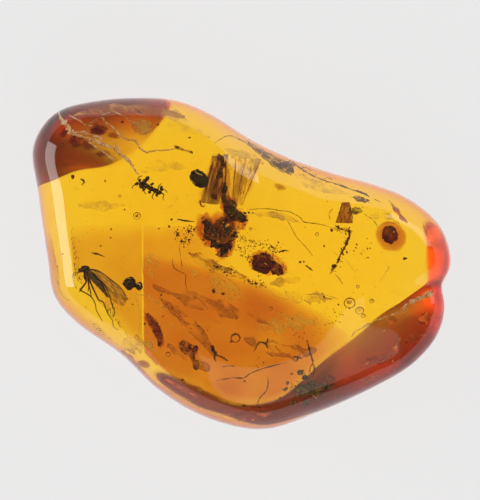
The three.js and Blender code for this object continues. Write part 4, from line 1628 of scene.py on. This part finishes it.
    def _ridge(self) -> None:
        """Builds the jagged crack that runs along the upper right shoulder."""
        clay = Clay(114)
        for points, width in (
            (((-2.58, 11.84), (-1.9, 12.3), (-1.28, 12.6), (-0.5, 12.4), (0.17, 12.07), (0.85, 11.6),
              (1.5, 11.3),
              (2.3, 10.5), (3.1, 9.6), (4.3, 8.9)), 0.12),
            (((4.3, 9.9), (4.9, 10.1), (5.7, 9.5), (6.65, 8.85), (7.65, 8.4), (8.8, 8.0), (9.8, 7.7),
              (10.85, 7.3),
              (11.8, 7.0), (12.6, 6.6)), 0.2),
            (((13.1, 6.35), (13.4, 6.2), (13.7, 6.05)), 0.1), (((5.7, 9.3), (6.3, 9.5), (6.9, 9.2)), 0.1),
            (((8.0, 8.2), (8.4, 8.5), (9.0, 8.3)), 0.1),
        ):
            self._crack(clay, points, width, 0.25, 0.35, rough=0.08)
        for x, y in ((5.2, 9.8), (6.2, 9.1), (7.1, 8.7), (8.2, 8.2), (9.3, 7.9), (10.4, 7.45), (11.3, 7.15),
                     (12.2, 6.8)):
            clay.scatter([self.seeing.under(x, y, 0.5)], 7, 0.14, (0.03, 0.09))
        finish = MatterFinish("dark_ridge", srgb(48, 24, 10), srgb(142, 92, 44), grain=0.2, relief=0.05,
                              roughness=0.6, cover=(0.55, 0.98))
        clay.finish("ridge_crack", finish.make(), Slot.FLAW)


@dataclass
class Veils:
    """Clouded patches where a crack or a flow boundary spreads through the resin, and some painted light: a
    painted reflection under the top edge, painted highlights along the top edge and upper shoulder, and
    orange-red painted highlights in the dark rims.
    """

    seeing: Seeing

    def build(self) -> None:
        """Builds the veils by tone."""
        patches = (
            ("tan_veils", srgb(226, 170, 110), srgb(255, 236, 200), (0.08, 0.6), (
                (((5.97, -3.06), (6.9, -2.6), (7.6, -2.7), (8.26, -3.06), (9.0, -3.4)),
                 ((6.27, -4.2), (7.0, -4.1), (7.9, -3.95), (8.5, -3.8), (9.0, -3.65)), 2.6),
                (((2.7, -1.6), (3.6, -1.3), (4.6, -1.1), (5.7, -0.95)),
                 ((2.9, -2.4), (3.8, -2.3), (4.8, -2.1), (5.7, -2.3)), 3.0),
                (((4.2, -2.5), (4.8, -2.6), (5.4, -2.7), (5.97, -3.1)),
                 ((4.5, -3.1), (4.9, -3.4), (5.4, -3.7), (5.8, -3.7)), 2.6),
                (((0.7, 5.1), (2.4, 5.2), (4.2, 5.0), (5.6, 4.5)),
                 ((0.7, 4.6), (2.4, 4.5), (4.2, 4.2), (5.6, 3.7)), 2.0),
                (((-12.6, -7.7), (-11.6, -6.9), (-10.4, -6.65), (-8.7, -6.95)),
                 ((-11.2, -9.0), (-10.6, -9.2), (-9.8, -9.1), (-8.7, -9.1)), 1.6),
                (((8.7, 3.8), (9.4, 3.75), (10.2, 3.6), (10.85, 3.4)),
                 ((8.8, 3.2), (9.5, 3.05), (10.2, 3.0), (10.85, 2.9)), 3.4),
            )),
            ("thin_veils_and_edge_highlights", srgb(240, 190, 120), srgb(255, 240, 200), (0.02, 0.32), (
                (((-4.7, 0.2), (-2.9, -0.7), (-1.2, -1.6), (0.6, -2.5)),
                 ((-5.2, -1.6), (-3.4, -2.6), (-1.6, -3.4), (0.2, -4.2)), 3.2),
                (((-9.6, 1.0), (-9.5, 0.0), (-9.4, -1.2)), ((-8.4, 1.2), (-8.2, 0.1), (-8.2, -1.4)), 3.2),
                (((1.5, -5.4), (3.6, -4.8), (5.8, -4.6), (7.8, -4.9)),
                 ((1.2, -7.2), (3.4, -7.0), (5.6, -6.6), (7.4, -6.4)), 2.6),
                (((-10.0, 9.4), (-8.6, 10.0), (-7.0, 10.2), (-5.2, 9.9)),
                 ((-9.8, 8.6), (-8.4, 8.9), (-6.8, 9.0), (-5.3, 9.0)), 2.2),
                (((-3.0, 10.9), (-1.0, 11.3), (1.0, 11.0), (2.4, 10.2)),
                 ((-2.9, 10.2), (-1.0, 10.5), (0.8, 10.1), (2.0, 9.4)), 1.6),
                (((12.2, 4.6), (13.2, 5.2), (14.6, 5.0), (15.6, 4.2)),
                 ((12.4, 3.8), (13.2, 4.3), (14.4, 4.3), (15.3, 3.7)), 2.0),
                # Painted highlights: this sheet just under the upper shoulder and the next one under the top
                # edge stand in for light glancing off the surface.
                (((4.9, 9.6), (6.4, 8.8), (8.0, 8.1), (10.8, 7.1)),
                 ((5.1, 8.2), (6.5, 7.3), (8.0, 6.9), (10.8, 6.4)), 0.4),
                (((-8.6, 15.3), (-7.0, 15.2), (-5.2, 14.4), (-3.0, 13.0)),
                 ((-8.8, 13.6), (-7.4, 13.2), (-5.6, 12.5), (-3.2, 11.9)), 0.7),
                (((-16.0, 6.4), (-13.6, 6.1), (-11.4, 6.2)), ((-16.2, 5.4), (-13.8, 5.2), (-11.4, 5.2)),
                 3.0),
            )),
            # Painted reflection: tan sheets just under the top edge stand in for an upper lamp mirrored in
            # the surface.
            ("painted_edge_reflection", srgb(206, 140, 72), srgb(246, 206, 136), (0.25, 0.8), (
                (((-16.4, 15.0), (-14.0, 15.6), (-11.0, 15.8), (-8.0, 15.6), (-5.6, 15.0)),
                 ((-16.6, 14.2), (-14.0, 14.6), (-11.0, 14.7), (-8.0, 14.4), (-5.6, 13.8)), 0.4),
                (((-10.6, 14.6), (-9.6, 14.5), (-8.6, 14.4)), ((-10.9, 12.6), (-9.8, 12.4), (-8.8, 12.4)),
                 0.9),
            )),
            ("flow_streaks", srgb(112, 40, 12), srgb(222, 140, 60), (0.0, 0.55), (
                (((-8.6, -1.4), (-6.0, -2.5), (-3.0, -3.2), (0.0, -4.2), (3.0, -5.2)),
                 ((-8.8, -3.0), (-6.0, -4.0), (-3.0, -4.8), (0.0, -5.8), (3.0, -6.6)), 3.0),
                (((-8.8, -3.4), (-6.5, -5.4), (-4.6, -7.4), (-3.2, -9.4)),
                 ((-7.4, -3.2), (-5.2, -5.0), (-3.2, -7.0), (-1.8, -9.2)), 3.6),
                (((0.4, -6.6), (3.0, -7.4), (5.5, -8.0), (7.6, -7.8)),
                 ((0.2, -8.2), (3.0, -9.2), (5.5, -9.6), (7.2, -9.2)), 2.8),
                (((-7.6, -8.4), (-5.6, -9.8), (-3.4, -11.0)), ((-7.0, -7.4), (-4.9, -8.6), (-2.8, -9.8)),
                 2.2),
                (((-5.0, 1.6), (-3.6, 1.0), (-2.4, 0.2), (0.6, -0.8)),
                 ((-5.4, 0.4), (-3.9, -0.3), (-2.6, -1.0), (0.4, -2.0)), 3.2),
            )),
            # Painted highlights: bright orange-red crescents in the dark rims.
            ("painted_red_highlights", srgb(150, 34, 12), srgb(255, 140, 70), (0.3, 0.9), (
                (((-14.8, 13.4), (-14.0, 13.6), (-13.3, 13.2)),
                 ((-14.7, 12.7), (-14.0, 12.6), (-13.3, 12.6)), 1.2),
                (((-16.8, 12.3), (-16.2, 12.5), (-15.6, 12.2)),
                 ((-16.7, 11.7), (-16.2, 11.5), (-15.6, 11.7)), 1.2),
                (((14.75, 6.3), (15.5, 5.4), (16.0, 4.6), (16.5, 4.1)),
                 ((14.2, 6.2), (14.9, 5.3), (15.5, 4.5), (16.1, 4.0)), 0.9),
                (((17.4, -5.0), (18.2, -4.8), (18.9, -5.0)), ((17.4, -5.8), (18.2, -5.9), (18.8, -5.7)),
                 1.2),
                (((12.0, -9.4), (13.2, -9.0), (14.2, -8.6)), ((11.9, -9.9), (13.1, -9.6), (14.2, -9.4)),
                 1.6),
                (((11.8, -9.8), (12.9, -9.5), (13.9, -9.3), (14.7, -8.6), (15.3, -7.7), (15.6, -7.0)),
                 ((11.8, -10.2), (12.9, -10.0), (14.0, -9.8), (15.0, -9.0), (15.7, -7.9), (15.9, -7.2)),
                 0.8),
                (((11.6, -11.3), (12.4, -11.2), (13.5, -10.7)),
                 ((11.7, -11.75), (12.7, -11.8), (13.8, -11.1)), 0.7),
                (((16.3, -7.0), (17.2, -6.6), (18.2, -6.7)), ((16.5, -8.0), (17.4, -7.8), (18.2, -7.4)),
                 1.0),
                (((14.3, -5.3), (14.8, -5.1), (15.4, -5.3)), ((14.3, -5.9), (14.8, -6.0), (15.3, -5.8)),
                 1.0),
                (((-1.6, -14.4), (0.4, -14.5), (2.0, -14.5), (3.1, -14.4)),
                 ((-1.3, -15.1), (0.4, -15.4), (1.8, -15.4), (2.9, -15.0)), 0.6),
                (((-12.0, -8.2), (-11.0, -9.0), (-9.8, -10.2)),
                 ((-11.8, -8.9), (-10.6, -9.9), (-9.3, -11.2)), 0.8),
                (((-7.6, -11.0), (-6.0, -11.9), (-4.2, -12.8)),
                 ((-7.4, -11.7), (-5.8, -12.7), (-4.2, -13.5)), 0.8),
            )),
        )
        for order, (name, dark, light, cover, sheets) in enumerate(patches):
            clay = Clay(121 + order)
            for first, second, depth in sheets:
                upper = self.seeing.chain(first, depth, steps=6)
                lower = self.seeing.chain(second, depth, 0.4, steps=6)
                self._leaf(upper, lower)
                clay.ribbon(upper, lower, rows=8, thick=0.02, rough=0.14)
            finish = MatterFinish(name, dark, light, grain=1.3, stretch=(1.0, 1.9, 1.0), turn=30,
                                  relief=0.03,
                                  roughness=0.4, cover=(cover[1], cover[0]), cover_range=(0.0, 1.0))
            clay.finish(name, finish.make(), Slot.FLAW)


    @staticmethod
    def _leaf(upper: Sequence[Vector], lower: Sequence[Vector]) -> None:
        """Draws two edges together unevenly and towards their ends, so that a patch has no corners.

        Args:
            upper: One edge, which is moved.
            lower: The other edge, of as many points, which is moved too.
        """
        jag = noise.noise_vector(upper[0] / MM) * 9
        for index, (start, stop) in enumerate(zip(upper, lower)):
            swell = math.sin(math.pi * (index + 0.6) / (len(upper) + 0.2)) ** 0.7
            share = swell * (0.85 + 0.7 * noise.noise(Vector((index * 0.37, jag.x, jag.y))))
            middle = (start + stop) / 2
            start.xyz = middle + (start - middle) * share
            stop.xyz = middle + (stop - middle) * share


# ---------------------------------------------------------------------------------------------
# Studio
# ---------------------------------------------------------------------------------------------


@dataclass
class Studio:
    """The pale floor, the soft lights and the camera that looks straight down."""

    frame_height: float = 50.0 * MM
    camera_height: float = 0.6
    floor_gap: float = 0.02 * MM
    floor_size: float = 4.0

    def build(self) -> None:
        """Builds the floor, the surroundings, the lights and the camera."""
        self._floor()
        self._surroundings()
        self._lights()
        self._camera()
        scene = bpy.context.scene
        scene.view_settings.view_transform = "Standard"
        scene.cycles.max_bounces = 32
        scene.cycles.transmission_bounces = 32
        scene.cycles.transparent_max_bounces = 32
        scene.cycles.glossy_bounces = 8

    def _floor(self) -> None:
        """Makes the lit sheet under the nugget."""
        bm = bmesh.new()
        bmesh.ops.create_grid(bm, x_segments=1, y_segments=1, size=self.floor_size / 2)
        bmesh.ops.translate(bm, verts=bm.verts, vec=(0, 0, -self.floor_gap))
        mesh = bpy.data.meshes.new("floor")
        bm.to_mesh(mesh)
        bm.free()
        mesh.materials.append(FloorFinish().make())
        floor = bpy.data.objects.new("floor", mesh)
        bpy.context.scene.collection.objects.link(floor)

    def _surroundings(self) -> None:
        """Makes the studio's walls: dim, but pale when looked at directly or through the resin."""
        world = bpy.data.worlds.new("studio")
        world.use_nodes = True
        kit = NodeKit(world.node_tree)
        background = world.node_tree.nodes["Background"]
        path = kit.add("ShaderNodeLightPath")
        around = kit.mix(path.outputs["Is Transmission Ray"], (0.22, 0.2, 0.19, 1), (0.85, 0.8, 0.76, 1))
        colour = kit.mix(path.outputs["Is Camera Ray"], around, (0.82, 0.82, 0.82, 1))
        kit.join(colour, background.inputs["Color"])
        bpy.context.scene.world = world

    def _lights(self) -> None:
        """Hangs the soft panels: (name, place, width, height, power) in metres and watts."""
        panels = (
            ("left_panel", (-0.5, 0.06, 0.09), 0.44, 0.2, 1.15),
            ("back_panel", (0.42, 0.3, 0.05), 0.36, 0.09, 0.22),
            ("front_panel", (0.1, -0.4, 0.3), 0.6, 0.4, 0.5),
        )
        for name, place, width, height, power in panels:
            lamp = bpy.data.lights.new(name, "AREA")
            lamp.shape = "RECTANGLE"
            lamp.size = width
            lamp.size_y = height
            lamp.energy = power
            panel = bpy.data.objects.new(name, lamp)
            panel.location = place
            panel.rotation_euler = (-Vector(place)).to_track_quat("-Z", "Y").to_euler()
            bpy.context.scene.collection.objects.link(panel)

    def _camera(self) -> None:
        """Sets the long lens straight above the nugget."""
        lens = bpy.data.cameras.new("camera")
        lens.sensor_fit = "VERTICAL"
        lens.sensor_height = 24.0
        distance = self.camera_height
        lens.lens = lens.sensor_height * distance / self.frame_height
        camera = bpy.data.objects.new("camera", lens)
        camera.location = (-0.15 * MM, 1.35 * MM, distance)
        bpy.context.scene.collection.objects.link(camera)
        bpy.context.scene.camera = camera


def main() -> None:
    """Builds the scene piece by piece."""
    logging.basicConfig(level=logging.INFO, format="%(name)s: %(message)s")
    Studio().build()
    nugget = Nugget()
    nugget.build()
    LOG.info("nugget done")
    seeing = Seeing(nugget.piece)
    WeatheredSkin(nugget.piece).build()
    ResinFlows(seeing).build()
    LOG.info("resin layers done")
    for thing in (Gnat, InsectRemains, Droppings, BarkColumn, ResinBlobs, TwigStrip, Crumbs, MossChunk,
                  Flakes,
                  Bubbles, Fissures, Veils):
        thing(seeing).build()
        LOG.info("%s done", thing.__name__)


if __name__ == "__main__":
    main()
